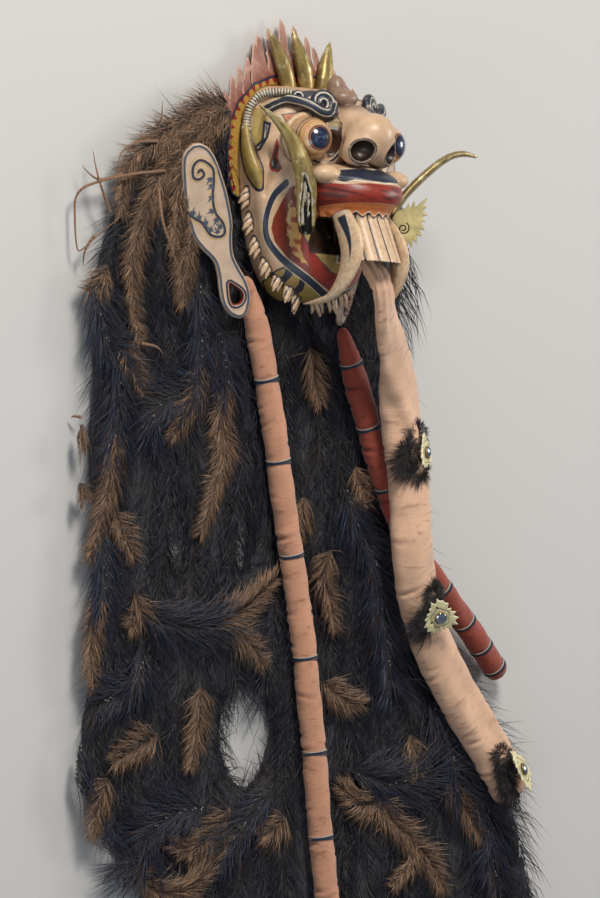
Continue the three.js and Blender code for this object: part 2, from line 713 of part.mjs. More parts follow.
/** One stuffed roll with its thread bands as low rings. */
function rollGeometry(name) {
  const lift = ROLL_DIA / 2 + BAND_RISE + GAP;
  const line = ROLL_LINES[name].map(([x, y, sunk = 0]) => point(x, y, 0).setZ(lift + sunk));
  const curve = new THREE.CatmullRomCurve3(line, false, "centripetal");
  const length = curve.getLength();
  const bands = ROLL_BANDS[name];
  const step = 1 / (bands + 0.4);
  const half = BAND_LENGTH / 2 / length;
  const stations = [0];
  for (let k = 1; k <= bands; k++) {
    const middle = step * (k - 0.3);
    stations.push(middle - half, middle, middle + half);
  }
  stations.push(1);
  const rod = new THREE.CylinderGeometry(0.5, 0.5, 1, 8, stations.length - 1);
  const place = rod.attributes.position;
  for (let i = 0; i < place.count; i++) {
    const row = Math.round((place.getY(i) + 0.5) * (stations.length - 1));
    place.setY(i, stations[row] - 0.5);
  }
  const isBand = (t) => stations.some((s, k) => k % 3 === 2 && Math.abs(s - t) < 1e-5);
  const gathered = (t) => THREE.MathUtils.lerp(0.5, 1, Math.min(1, (t * length) / 75));
  const across = (t) => ROLL_DIA * (t > 0.999 ? 0.8 : gathered(t)) + (isBand(t) ? 2 * BAND_RISE : 0);
  return bend(rod, curve, new THREE.Vector3(1, 0, 0), across, across);
}

// The mantle's edge as it lies, and the gaps between its strings.
const MAT_EDGE_POINTS = [
  [-60, 40], [-135, 38], [-205, 20], [-262, -20], [-315, -80], [-350, -150], [-358, -250],
  [-368, -350], [-366, -440], [-348, -545], [-350, -650], [-380, -755], [-368, -850], [-318, -925],
  [-262, -992], [-215, -1062], [-80, -1085], [90, -1088], [270, -1072], [418, -1042], [436, -990],
  [420, -930], [402, -880], [376, -812], [326, -742], [272, -672], [236, -600], [206, -520],
  [190, -430], [170, -330], [190, -230], [206, -130], [184, -30], [128, 30], [60, 40],
];
const MAT_GAPS = [
  { x: -92, y: -773, across: 46, along: 66 },
  { x: -213, y: -520, across: 15, along: 42 },
  { x: -96, y: -515, across: 12, along: 50 },
];

/** The ground of the mantle: a flat mat with rounded edges and gaps between its strings. */
function matGeometry() {
  const edge = MAT_EDGE_POINTS.map(([x, y]) => new THREE.Vector2(x, y).multiplyScalar(UNIT));
  const shape = new THREE.Shape(edge);
  MAT_GAPS.forEach(({ x, y, across, along }) => {
    const gap = new THREE.EllipseCurve(x * UNIT, y * UNIT, across * UNIT, along * UNIT);
    shape.holes.push(new THREE.Path(gap.getPoints(8).slice(0, -1)));
  });
  return new THREE.ExtrudeGeometry(shape, {
    depth: MAT_THICK - 2 * MAT_EDGE,
    bevelThickness: MAT_EDGE,
    bevelSize: MAT_EDGE,
    bevelSegments: 1,
  }).translate(0, 0, MAT_EDGE);
}

// The thick tresses that lie on the mat, seen from above.
const TRESS_LINES = [
  [[-228, 10], [-282, -50], [-318, -140], [-322, -250], [-322, -360], [-310, -460]],
  [[-312, -520], [-306, -620], [-318, -740], [-326, -840], [-278, -925], [-205, -1000]],
  [[-250, -130], [-250, -230], [-244, -340], [-250, -440], [-254, -560], [-252, -650], [-250, -740]],
  [[-192, -285], [-188, -370], [-186, -460], [-186, -550], [-190, -650], [-196, -740], [-222, -830]],
  [[-132, -300], [-112, -370], [-104, -440], [-106, -520], [-100, -600], [-96, -660]],
  [[-170, -905], [-110, -880], [-60, -900], [-32, -960]],
  [[-14, -270], [-2, -360], [16, -460], [32, -560], [46, -650], [56, -740]],
  [[62, -440], [92, -540], [118, -640], [150, -740], [192, -830], [238, -910]],
  [[96, -790], [104, -880], [122, -960], [160, -1035]],
  [[232, -770], [286, -850], [322, -930], [352, -1010]],
];

/** One tress lying on the mat. */
function tressGeometry(points) {
  const lift = TRESS_THICK / 2 + GAP;
  const line = points.map(([x, y]) => point(x, y, 0).setZ(lift));
  const curve = new THREE.CatmullRomCurve3(line, false, "centripetal");
  const rod = new THREE.CylinderGeometry(0.5, 0.5, 1, 6, 8);
  const shape = (full) => taper(full, 0.35, 0.25, 0.45);
  return bend(rod, curve, new THREE.Vector3(1, 0, 0), shape(TRESS_WIDTH), shape(TRESS_THICK));
}

const PAINT = {
  cream: { color: "#cdb08f", roughness: 0.45 },
  eye: { color: "#c99a5c", roughness: 0.25 },
  gold: { color: "#a58a4c", roughness: 0.4, metalness: 0.4 },
  bone: { color: "#cdb9a0", roughness: 0.4 },
  rose: { color: "#b5685c", roughness: 0.7 },
  leather: { color: "#d8c07c", roughness: 0.5, metalness: 0.3 },
  tongue: { color: "#d9a480", roughness: 0.75 },
  rollRight: { color: "#c9855f", roughness: 0.85 },
  rollLeft: { color: "#a8452f", roughness: 0.85 },
  hair: { color: "#1b1a22", roughness: 0.8 },
  fur: { color: "#2c2420", roughness: 0.9 },
  mirror: { color: "#8d8f96", roughness: 0.1, metalness: 0.6 },
};

/** A named mesh in one paint. */
function piece(name, geometry, paint) {
  const mesh = new THREE.Mesh(geometry, new THREE.MeshStandardMaterial(PAINT[paint]));
  mesh.name = name;
  return mesh;
}

/** The mask with what is set into it, in the mask's own frame: rim at z = 0, face along +z. */
function makeMask() {
  const mask = new THREE.Group();
  const cuts = [];
  for (const [name, sign] of SIDES) {
    mask.add(piece(`eye_${name}`, eyeGeometry(sign), "eye"));
    cuts.push(solid(eyeGeometry(sign, GAP * 4)));
    mask.add(piece(`tusk_${name}`, tuskGeometry(name), "gold"));
    cuts.push(solid(tuskGeometry(name, GAP * 6)));
  }
  for (const name of Object.keys(HORN_LINES)) {
    mask.add(piece(`horn_${name}`, hornGeometry(name), "gold"));
    cuts.push(solid(hornGeometry(name, GAP * 4)));
  }
  mask.add(piece("cheek_flame", leatherGeometry(), "leather"));
  cuts.push(solid(leatherGeometry(GAP * 3)));
  cuts.push(solid(crestGeometry(GAP * 4)));
  mask.add(piece("crest", crestGeometry(), "rose"));
  mask.add(piece("mask_face", geometryOf(maskSolid(cuts)), "cream"));
  return mask;
}

/** The two ears: the right one leans on the mask's side, the left one lies flat beside it. */
function makeEars() {
  const ears = new THREE.Group();
  const right = piece("ear_right", earGeometry(-1), "bone");
  const lean = radians(EAR_TILT_DEG);
  const edgeReach = 36 * (EAR_LENGTH / 241);
  const height = edgeReach * Math.sin(lean) + (EAR_THICK / 2) * Math.cos(lean) + GAP * 2;
  const axis = new THREE.Vector3(88, -233, 0).normalize();
  const inward = new THREE.Vector3(-axis.y, axis.x, 0);
  const across = inward.multiplyScalar(Math.cos(lean)).setZ(Math.sin(lean));
  const facing = across.clone().cross(axis.clone().negate());
  right.applyMatrix4(setAlong(across, axis.clone().negate(), facing,
    point(-214, -7, 0).setZ(height)));
  const left = piece("ear_left", earGeometry(1), "bone");
  left.rotation.z = radians(-4);
  left.position.copy(point(166, -22, 0).setZ(EAR_THICK / 2 + GAP));
  ears.add(right, left);
  return ears;
}

/** The tongue and its three tufts, each with a leather plate and a mirror stone. */
function makeTongue() {
  const group = new THREE.Group();
  group.add(piece("tongue", tongueGeometry(), "tongue"));
  const room = solid(tongueGeometry(GAP * 2));
  ORNAMENTS.forEach((share, k) => {
    const frame = ornamentFrame(share);
    const tuft = solid(tuftGeometry().applyMatrix4(frame)).subtract(room);
    const top = tuft.decompose().reduce((a, b) => (a.volume() > b.volume() ? a : b));
    group.add(piece(`tongue_tuft_${k + 1}`, geometryOf(top), "fur"));
    group.add(piece(`tongue_plate_${k + 1}`, plateGeometry().applyMatrix4(frame), "leather"));
    group.add(piece(`tongue_mirror_${k + 1}`, gemGeometry().applyMatrix4(frame), "mirror"));
  });
  return group;
}

/** The mat, its tresses and the two rolls, all lying flat. */
function makeMantle() {
  const mantle = new THREE.Group();
  mantle.add(piece("mantle_mat", matGeometry(), "hair"));
  const upper = new THREE.Group();
  upper.position.z = MAT_THICK;
  TRESS_LINES.forEach((line, k) => {
    const name = `mantle_tress_${String(k + 1).padStart(2, "0")}`;
    upper.add(piece(name, tressGeometry(line), "hair"));
  });
  upper.add(piece("roll_right", rollGeometry("right"), "rollRight"));
  upper.add(piece("roll_left", rollGeometry("left"), "rollLeft"));
  upper.add(makeEars());
  upper.add(makeTongue());
  mantle.add(upper);
  return mantle;
}

const part = new THREE.Group();
const mask = makeMask();
mask.rotation.z = radians(MASK_TURN_DEG);
mask.position.z = MAT_THICK + GAP;
part.add(makeMantle(), mask);

export default part;
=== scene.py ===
"""Dresses a Balinese demon mask that lies on its back on its mantle of hair and palm fibre.

Lengths are in millimetres in two frames of the object's own and become metres when a mesh is made.
In the mask's frame the rim is at z = 0, the crest is towards +y and the face looks along +z. In the
mantle's frame z = 0 is the floor.
"""

import logging
import math
from dataclasses import dataclass
from enum import Enum
from typing import Any, Callable, Protocol, Sequence

import bpy
import numpy as np
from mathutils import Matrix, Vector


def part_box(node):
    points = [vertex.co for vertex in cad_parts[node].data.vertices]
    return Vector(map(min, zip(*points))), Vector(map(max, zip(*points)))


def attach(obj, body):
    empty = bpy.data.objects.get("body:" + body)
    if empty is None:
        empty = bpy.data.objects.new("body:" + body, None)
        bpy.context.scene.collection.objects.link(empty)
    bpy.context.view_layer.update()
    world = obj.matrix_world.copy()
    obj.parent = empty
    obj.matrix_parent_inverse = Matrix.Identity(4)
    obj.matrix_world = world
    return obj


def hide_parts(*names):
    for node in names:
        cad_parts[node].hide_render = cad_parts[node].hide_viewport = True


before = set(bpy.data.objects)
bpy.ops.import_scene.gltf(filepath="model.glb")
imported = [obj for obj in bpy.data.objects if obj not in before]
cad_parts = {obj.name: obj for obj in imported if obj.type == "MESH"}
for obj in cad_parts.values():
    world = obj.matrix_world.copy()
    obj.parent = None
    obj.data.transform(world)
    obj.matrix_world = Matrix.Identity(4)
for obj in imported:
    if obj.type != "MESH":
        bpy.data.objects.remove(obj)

import openvdb
from mathutils import Matrix, Vector

log = logging.getLogger("demon_mask")
MASK_RIM_HEIGHT = 20.3  # Height of the mask's rim above the floor, in millimetres
MASK_TURN = math.radians(-3.5)  # Turn of the mask on its mantle
MAT_TOP = 20.0  # Top of the mantle's mat, which the tongue's heights are measured from
ROLL_HEIGHT = 38.8  # Height of the middle line of a roll
FLOOR_GAP = 1.5  # Least height of a strand above the floor
FIBRE_EDGE = -392.0  # Loose fibres curl back beyond this x
STRAND_BOX = (-411.0, 462.0, -1125.0)  # Least x, greatest x and least y of a strand's tip
ABSENT = -9.0  # Stored distance where a painted area isn't there at all
SLEEVE_BROAD = (1.0, 0.2, 0.0)  # Direction of a sleeve's width
HEAD_TRIANGLES = 172000  # Aim of the coarser hollow; the fine carving keeps some more
SEED = 7
Point = tuple[float, float, float]


class Place(Enum):
    """The frame that a piece's points are given in."""

    MASK = "mask"
    MANTLE = "mantle"


# Points, lines and outlines


def smooth_line(points: Sequence[Sequence[float]], count: int) -> np.ndarray:
    """Draws a smooth line through control points.

    Args:
        points: Control points of any dimension.
        count: Number of points on the line.

    Returns:
        Array of points, at equal distances along the line.
    """
    p = np.asarray(points, dtype=float)
    padded = np.vstack([2 * p[0] - p[1], p, 2 * p[-1] - p[-2]])
    fine = []
    for i in range(len(p) - 1):
        a, b, c, d = padded[i : i + 4]
        s = np.linspace(0, 1, 24, endpoint=False)[:, None]
        fine.append(b + 0.5 * s * (c - a + s * (2 * a - 5 * b + 4 * c - d + s * (3 * (b - c) + d - a))))
    fine = np.vstack([*fine, p[-1:]])
    run = np.concatenate([[0], np.cumsum(np.linalg.norm(np.diff(fine, axis=0), axis=1))])
    at = np.linspace(0, run[-1], count)
    return np.column_stack([np.interp(at, run, fine[:, k]) for k in range(p.shape[1])])


def spread(values: Sequence[float], count: int) -> np.ndarray:
    """Reads a short list of values at count equal shares of its length."""
    return np.interp(np.linspace(0, 1, count), np.linspace(0, 1, len(values)), values)


def inside_outline(u: np.ndarray, v: np.ndarray, outline: Sequence[Sequence[float]]) -> np.ndarray:
    """Measures how far points are inside a closed outline.

    Args:
        u: First coordinate of each point.
        v: Second coordinate of each point.
        outline: Corners of the outline.

    Returns:
        Distance to the outline, positive inside it.
    """
    corners = np.asarray(outline, dtype=float)
    near = np.full(u.shape, 1e9)
    inside = np.zeros(u.shape, dtype=bool)
    for (ax, ay), (bx, by) in zip(corners, np.roll(corners, -1, axis=0)):
        ex, ey = bx - ax, by - ay
        wx, wy = u - ax, v - ay
        s = np.clip((wx * ex + wy * ey) / max(ex * ex + ey * ey, 1e-9), 0, 1)
        near = np.minimum(near, np.hypot(wx - s * ex, wy - s * ey))
        crosses = (ay > v) != (by > v)
        with np.errstate(divide="ignore", invalid="ignore"):
            inside ^= crosses & (u < ex * (v - ay) / (by - ay if by != ay else 1e-9) + ax)
    return np.where(inside, near, -near)


def near_line(u: np.ndarray, v: np.ndarray, line: Sequence[Sequence[float]]) -> np.ndarray:
    """Distance of points from an open line in a plane."""
    near = np.full(u.shape, 1e9)
    corners = np.asarray(line, dtype=float)
    for (ax, ay), (bx, by) in zip(corners[:-1], corners[1:]):
        ex, ey = bx - ax, by - ay
        s = np.clip(((u - ax) * ex + (v - ay) * ey) / max(ex * ex + ey * ey, 1e-9), 0, 1)
        near = np.minimum(near, np.hypot(u - ax - s * ex, v - ay - s * ey))
    return near


# Carving: forms are cut into and added to a block of clay, which then becomes one mesh


class Form(Protocol):
    """A solid that can say how far a point is outside it."""

    def reach(self) -> tuple[np.ndarray, np.ndarray]:
        """Lowest and highest corner of the form."""

    def depth(self, x: np.ndarray, y: np.ndarray, z: np.ndarray) -> np.ndarray:
        """Distance outside the form, negative inside."""


@dataclass(frozen=True)
class Ball:
    """A rounded lump with its own half sizes.

    Attributes:
        centre: Middle of the lump.
        radii: Half sizes along x, y and z.
    """

    centre: Point
    radii: Point

    def reach(self) -> tuple[np.ndarray, np.ndarray]:
        """Lowest and highest corner of the lump."""
        centre, radii = np.array(self.centre), np.array(self.radii)
        return centre - radii, centre + radii

    def depth(self, x: np.ndarray, y: np.ndarray, z: np.ndarray) -> np.ndarray:
        """Distance outside the lump, negative inside."""
        a, b, c = ((q - m) / r for q, m, r in zip((x, y, z), self.centre, self.radii))
        first = np.sqrt(a * a + b * b + c * c)
        second = np.sqrt((a / self.radii[0]) ** 2 + (b / self.radii[1]) ** 2 + (c / self.radii[2]) ** 2)
        return first * (first - 1) / np.maximum(second, 1e-6)


@dataclass(frozen=True)
class Rod:
    """A bar along a smooth line, round or flattened, with its own half width at each place.

    Attributes:
        line: Control points of the middle line.
        half_widths: Half widths at equal shares of the line.
        broad: Direction of the broad side, or None for a round bar.
        flatness: Thickness over width.
        rib: Height of turned ribs round the bar.
        rib_pitch: Distance between ribs.
        steps: Straight stretches that the line is cut into.
    """

    line: tuple[Point, ...]
    half_widths: tuple[float, ...]
    broad: Point | None = None
    flatness: float = 1.0
    rib: float = 0.0
    rib_pitch: float = 4.0
    steps: int = 22

    def reach(self) -> tuple[np.ndarray, np.ndarray]:
        """Lowest and highest corner of the bar."""
        spine = smooth_line(self.line, self.steps + 1)
        wide = max(self.half_widths) + self.rib
        return spine.min(axis=0) - wide, spine.max(axis=0) + wide

    def measure(self, x: np.ndarray, y: np.ndarray, z: np.ndarray) -> tuple[np.ndarray, np.ndarray]:
        """Distance outside the bar, and the share of its length at the nearest place."""
        spine = smooth_line(self.line, self.steps + 1)
        half = spread(self.half_widths, self.steps + 1) * self.flatness
        length = np.linalg.norm(np.diff(spine, axis=0), axis=1).sum()
        points = [x, y, z]
        if self.broad is not None:
            broad = np.array(self.broad) / np.linalg.norm(self.broad)
            along = (x * broad[0] + y * broad[1] + z * broad[2]) * (1 - self.flatness)
            points = [q - along * b for q, b in zip(points, broad)]
            spine = spine - (spine @ broad)[:, None] * broad * (1 - self.flatness)
        best = None
        share = None
        for i in range(self.steps):
            a, b = spine[i], spine[i + 1]
            e = b - a
            w = [q - o for q, o in zip(points, a)]
            s = np.clip((w[0] * e[0] + w[1] * e[1] + w[2] * e[2]) / max(e @ e, 1e-9), 0, 1)
            d = np.sqrt(sum((q - s * o) ** 2 for q, o in zip(w, e)))
            d = d - (half[i] + (half[i + 1] - half[i]) * s)
            t = (i + s) / self.steps
            if best is None:
                best, share = d, t
            else:
                closer = d < best
                best, share = np.where(closer, d, best), np.where(closer, t, share)
        if self.rib:
            best = best - self.rib * np.cos(2 * math.pi * share * length / self.rib_pitch)
        return best, share

    def depth(self, x: np.ndarray, y: np.ndarray, z: np.ndarray) -> np.ndarray:
        """Distance outside the bar, negative inside."""
        return self.measure(x, y, z)[0]


@dataclass(frozen=True)
class Block:
    """A box that only cuts.

    Attributes:
        low: Lowest corner.
        high: Highest corner.
    """

    low: Point
    high: Point

    def reach(self) -> tuple[np.ndarray, np.ndarray]:
        """Lowest and highest corner of the box."""
        return np.array(self.low), np.array(self.high)

    def depth(self, x: np.ndarray, y: np.ndarray, z: np.ndarray) -> np.ndarray:
        """Distance outside the box, negative inside."""
        gaps = [np.maximum(lo - q, q - hi) for q, lo, hi in zip((x, y, z), self.low, self.high)]
        return np.maximum(np.maximum(gaps[0], gaps[1]), gaps[2])


def soft_min(a: np.ndarray, b: np.ndarray, blend: float) -> np.ndarray:
    """The lesser of two distances, rounded where they meet."""
    if blend <= 0:
        return np.minimum(a, b)
    h = np.maximum(blend - np.abs(a - b), 0) / blend
    return np.minimum(a, b) - h * h * blend / 4


class Clay:
    """A block of space that forms are added to and cut from.

    Args:
        low: Lowest corner of the block.
        high: Highest corner of the block.
        step: Size of its grains.
    """

    FAR = 30.0

    def __init__(self, low: Point, high: Point, step: float) -> None:
        """Fills the block with empty space."""
        self.low = np.array(low, dtype=float)
        self.step = step
        counts = np.ceil((np.array(high) - self.low) / step).astype(int) + 1
        self.axes = [self.low[k] + step * np.arange(counts[k]) for k in range(3)]
        self.field = np.full(counts, self.FAR, dtype=np.float32)

    def _part(self, form: Form, margin: float) -> tuple[tuple[slice, ...], list[np.ndarray]]:
        """The stretch of the block that a form reaches, and its coordinates."""
        low, high = form.reach()
        cuts = []
        for axis, lo, hi in zip(self.axes, low - margin, high + margin):
            a, b = np.searchsorted(axis, [lo, hi])
            cuts.append(slice(int(a), int(min(b + 1, len(axis)))))
        shapes = [(-1, 1, 1), (1, -1, 1), (1, 1, -1)]
        grid = [axis[cut].reshape(shape) for axis, cut, shape in zip(self.axes, cuts, shapes)]
        return tuple(cuts), grid

    def add(self, form: Form, blend: float = 0.0) -> None:
        """Adds a form, melting it into what is there over the blend distance."""
        cuts, grid = self._part(form, 2 * blend + 4)
        self.field[cuts] = soft_min(self.field[cuts], form.depth(*grid), blend)

    def cut(self, form: Form, blend: float = 0.0) -> None:
        """Takes a form away, rounding the edge over the blend distance."""
        cuts, grid = self._part(form, 2 * blend + 4)
        self.field[cuts] = -soft_min(-self.field[cuts], form.depth(*grid), blend)

    def _read(self, values: np.ndarray, points: np.ndarray) -> np.ndarray:
        """Reads grid values at points, between the grains."""
        at = (points - self.low) / self.step
        base = np.clip(np.floor(at).astype(int), 0, np.array(values.shape) - 2)
        f = at - base
        total = np.zeros(len(points))
        for corner in range(8):
            bits = [(corner >> k) & 1 for k in range(3)]
            weight = np.prod([f[:, k] if bits[k] else 1 - f[:, k] for k in range(3)], axis=0)
            total += weight * values[tuple(base[:, k] + bits[k] for k in range(3))]
        return total

    def mesh(self) -> tuple[np.ndarray, np.ndarray]:
        """Points and four-cornered faces of the clay's surface."""
        grid = openvdb.FloatGrid(background=self.FAR)
        grid.copyFromArray(np.clip(self.field, -6, 6).astype(np.float32))
        points, quads = grid.convertToQuads(isovalue=0.0)[:2]
        return self.low + self.step * np.asarray(points, dtype=float), np.asarray(quads, dtype=int)

    def coarse_mesh(self, merging: float) -> tuple[np.ndarray, list[list[int]]]:
        """Points and faces of the surface, with flat areas merged by a share from 0 to 1."""
        grid = openvdb.FloatGrid(background=self.FAR)
        grid.copyFromArray(np.clip(self.field, -6, 6).astype(np.float32))
        points, triangles, quads = grid.convertToPolygons(isovalue=0.0, adaptivity=merging)
        faces = [list(map(int, f)) for f in triangles] + [list(map(int, f)) for f in quads]
        return self.low + self.step * np.asarray(points, dtype=float), faces

    def hollowness(self, points: np.ndarray, reach: int = 3) -> np.ndarray:
        """How hollow the surface is at points, from -1 on edges to 1 in grooves."""
        filled = np.clip(0.5 - self.field / (2 * self.step), 0, 1)
        for axis in range(3):
            total = np.zeros_like(filled)
            for shift in range(-reach, reach + 1):
                total += np.roll(filled, shift, axis=axis)
            filled = total / (2 * reach + 1)
        return np.clip((self._read(filled, points) - 0.5) * 4, -1, 1)


# Meshes and materials


def deselect() -> None:
    """Deselects every object, because an operator acts on all that is selected."""
    bpy.ops.object.select_all(action="DESELECT")


def set_down(points: np.ndarray, place: Place) -> np.ndarray:
    """Moves points from a piece's frame to the scene's.

    Args:
        points: Points in millimetres.
        place: Frame that they are given in.

    Returns:
        The same points in metres, in the scene's frame.
    """
    moved = np.array(points, dtype=float)
    if place is Place.MASK:
        c, s = math.cos(MASK_TURN), math.sin(MASK_TURN)
        x, y = moved[:, 0].copy(), moved[:, 1].copy()
        moved[:, 0] = c * x - s * y
        moved[:, 1] = s * x + c * y
        moved[:, 2] += MASK_RIM_HEIGHT
    return moved / 1000


def make_piece(
    name: str,
    points: np.ndarray,
    faces: Sequence[Sequence[int]] | np.ndarray,
    place: Place,
    material: bpy.types.Material,
    smooth: bool = True,
    numbers: dict[str, np.ndarray] | None = None,
) -> bpy.types.Object:
    """Makes a mesh object at the origin with its place in its mesh.

    Args:
        name: Name of the piece.
        points: Its points in millimetres.
        faces: Its faces, as lists of point numbers.
        place: Frame that the points are given in.
        material: Its finish.
        smooth: Whether the faces are shaded as one surface.
        numbers: Values kept at each point under a name, for the finish to read.

    Returns:
        The new object.
    """
    mesh = bpy.data.meshes.new(name)
    moved = set_down(points, place)
    if isinstance(faces, list):
        mesh.from_pydata(moved.tolist(), [], faces)
    else:
        faces = np.asarray(faces, dtype=np.int32)
        mesh.vertices.add(len(moved))
        mesh.vertices.foreach_set("co", moved.astype(np.float32).ravel())
        mesh.loops.add(faces.size)
        mesh.loops.foreach_set("vertex_index", faces.ravel())
        mesh.polygons.add(len(faces))
        mesh.polygons.foreach_set("loop_start", np.arange(0, faces.size, faces.shape[1], dtype=np.int32))
        mesh.update(calc_edges=True)
    mesh.validate()
    for key, values in (numbers or {}).items():
        store(mesh, key, values)
    if smooth:
        mesh.shade_smooth()
    mesh.materials.append(material)
    piece = bpy.data.objects.new(name, mesh)
    bpy.context.scene.collection.objects.link(piece)
    return piece


def store(mesh: bpy.types.Mesh, key: str, values: np.ndarray) -> None:
    """Keeps one number, or one colour, for each point of a mesh under a name."""
    if values.ndim == 1:
        layer = mesh.attributes.new(key, "FLOAT", "POINT")
        layer.data.foreach_set("value", values.astype(np.float32))
        return
    layer = mesh.attributes.new(key, "FLOAT_COLOR", "POINT")
    rgba = np.column_stack([values, np.ones(len(values))])
    layer.data.foreach_set("color", rgba.astype(np.float32).ravel())


def stored(mesh: bpy.types.Mesh, key: str) -> np.ndarray:
    """Reads the numbers that a mesh keeps for its points under a name."""
    values = np.empty(len(mesh.vertices))
    mesh.attributes[key].data.foreach_get("value", values)
    return values


def finish_piece(piece: bpy.types.Object, slot: str, *nodes: str) -> bpy.types.Object:
    """Ties a piece to the part's body and hides the solids that it stands for."""
    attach(piece, "root")
    if nodes:
        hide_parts(*nodes)
    log.info("%s: %d faces", piece.name, len(piece.data.polygons))
    return piece


def linear(colour: str) -> tuple[float, float, float]:
    """An sRGB hex colour as three linear numbers."""
    parts = [int(colour[i : i + 2], 16) / 255 for i in (1, 3, 5)]
    r, g, b = (c / 12.92 if c <= 0.04045 else ((c + 0.055) / 1.055) ** 2.4 for c in parts)
    return r, g, b


def add_node(
    tree: bpy.types.NodeTree, kind: str, settings: dict[str, Any], inputs: dict[Any, Any]
) -> bpy.types.Node:
    """Adds a shader node.

    Args:
        tree: Node tree to add it to.
        kind: Type of the node.
        settings: Values for its properties.
        inputs: For each input, by name or number, a value or the socket that feeds it.

    Returns:
        The new node.
    """
    node = tree.nodes.new(kind)
    for key, value in settings.items():
        setattr(node, key, value)
    for key, value in inputs.items():
        if isinstance(value, bpy.types.NodeSocket):
            tree.links.new(value, node.inputs[key])
        else:
            node.inputs[key].default_value = value
    return node


@dataclass(frozen=True)
class Layer:
    """One painted area: shown where its stored distance is above zero.

    Attributes:
        key: Name of the stored distance, in millimetres.
        colour: sRGB hex colour.
        edge: Width of the soft edge in millimetres.
    """

    key: str
    colour: str
    edge: float = 0.5


def material_base(
    name: str, colour: str, roughness: float, metallic: float = 0.0
) -> tuple[bpy.types.Material, bpy.types.NodeTree, bpy.types.Node]:
    """A new material with its node tree and its shader."""
    material = bpy.data.materials.new(name)
    material.use_nodes = True
    tree = material.node_tree
    shader = tree.nodes["Principled BSDF"]
    shader.inputs["Base Color"].default_value = (*linear(colour), 1)
    shader.inputs["Roughness"].default_value = roughness
    shader.inputs["Metallic"].default_value = metallic
    return material, tree, shader


def patches(
    tree: bpy.types.NodeTree, size_mm: float, low: float, high: float, stretch: Point = (1, 1, 1)
) -> bpy.types.NodeSocket:
    """Soft patches that run over a piece.

    Args:
        tree: Node tree of the material.
        size_mm: Size of a patch in millimetres.
        low: Noise value where a patch begins.
        high: Noise value where it is full.
        stretch: How much longer a patch is along x, y and z.

    Returns:
        Socket with the share of the patch, from 0 to 1.
    """
    where = add_node(tree, "ShaderNodeTexCoord", {}, {}).outputs["Object"]
    scale = tuple(1000 / size_mm / s for s in stretch)
    placed = add_node(tree, "ShaderNodeMapping", {}, {"Vector": where, "Scale": scale}).outputs[0]
    cloud = add_node(
        tree, "ShaderNodeTexNoise", {}, {"Vector": placed, "Scale": 1.0, "Detail": 5.0, "Roughness": 0.6}
    )
    return add_node(tree, *RANGE, {"Value": cloud.outputs[0], "From Min": low, "From Max": high}).outputs[0]


def grain_relief(
    tree: bpy.types.NodeTree,
    shader: bpy.types.Node,
    height: bpy.types.NodeSocket,
    depth_mm: float,
    strength: float,
) -> None:
    """Gives a shader the small relief of a height pattern, depth_mm high."""
    bump = add_node(
        tree, "ShaderNodeBump", {}, {"Height": height, "Strength": strength, "Distance": depth_mm / 1000}
    )
    tree.links.new(bump.outputs[0], shader.inputs["Normal"])


MIX = ("ShaderNodeMix", {"data_type": "RGBA"})
RANGE = ("ShaderNodeMapRange", {"clamp": True})
TIMES = ("ShaderNodeMath", {"operation": "MULTIPLY"})


def rgba(colour: str, shade: float = 1.0) -> tuple[float, float, float, float]:
    """An sRGB hex colour, made darker or lighter by a factor, as a shader colour."""
    r, g, b = linear(colour)
    return r * shade, g * shade, b * shade, 1.0


def painted(
    tree: bpy.types.NodeTree,
    colour: bpy.types.NodeSocket,
    layers: Sequence[Layer],
    uneven: bpy.types.NodeSocket,
    dim: float,
) -> bpy.types.NodeSocket:
    """Lays painted areas over a colour.

    Args:
        tree: Node tree of the material.
        colour: Colour under them.
        layers: The areas, each over the ones before it.
        uneven: Where a coat is thick and darker.
        dim: How much darker it is there.

    Returns:
        Socket with the colour on top.
    """
    for layer in layers:
        kept = add_node(tree, "ShaderNodeAttribute", {"attribute_name": layer.key}, {}).outputs["Fac"]
        ends = {"From Min": -layer.edge / 2, "From Max": layer.edge / 2}
        inside = add_node(tree, *RANGE, {"Value": kept, **ends}).outputs[0]
        coat = add_node(tree, *MIX, {0: uneven, 6: rgba(layer.colour), 7: rgba(layer.colour, dim)})
        colour = add_node(tree, *MIX, {0: inside, 6: colour, 7: coat.outputs[2]}).outputs[2]
    return colour


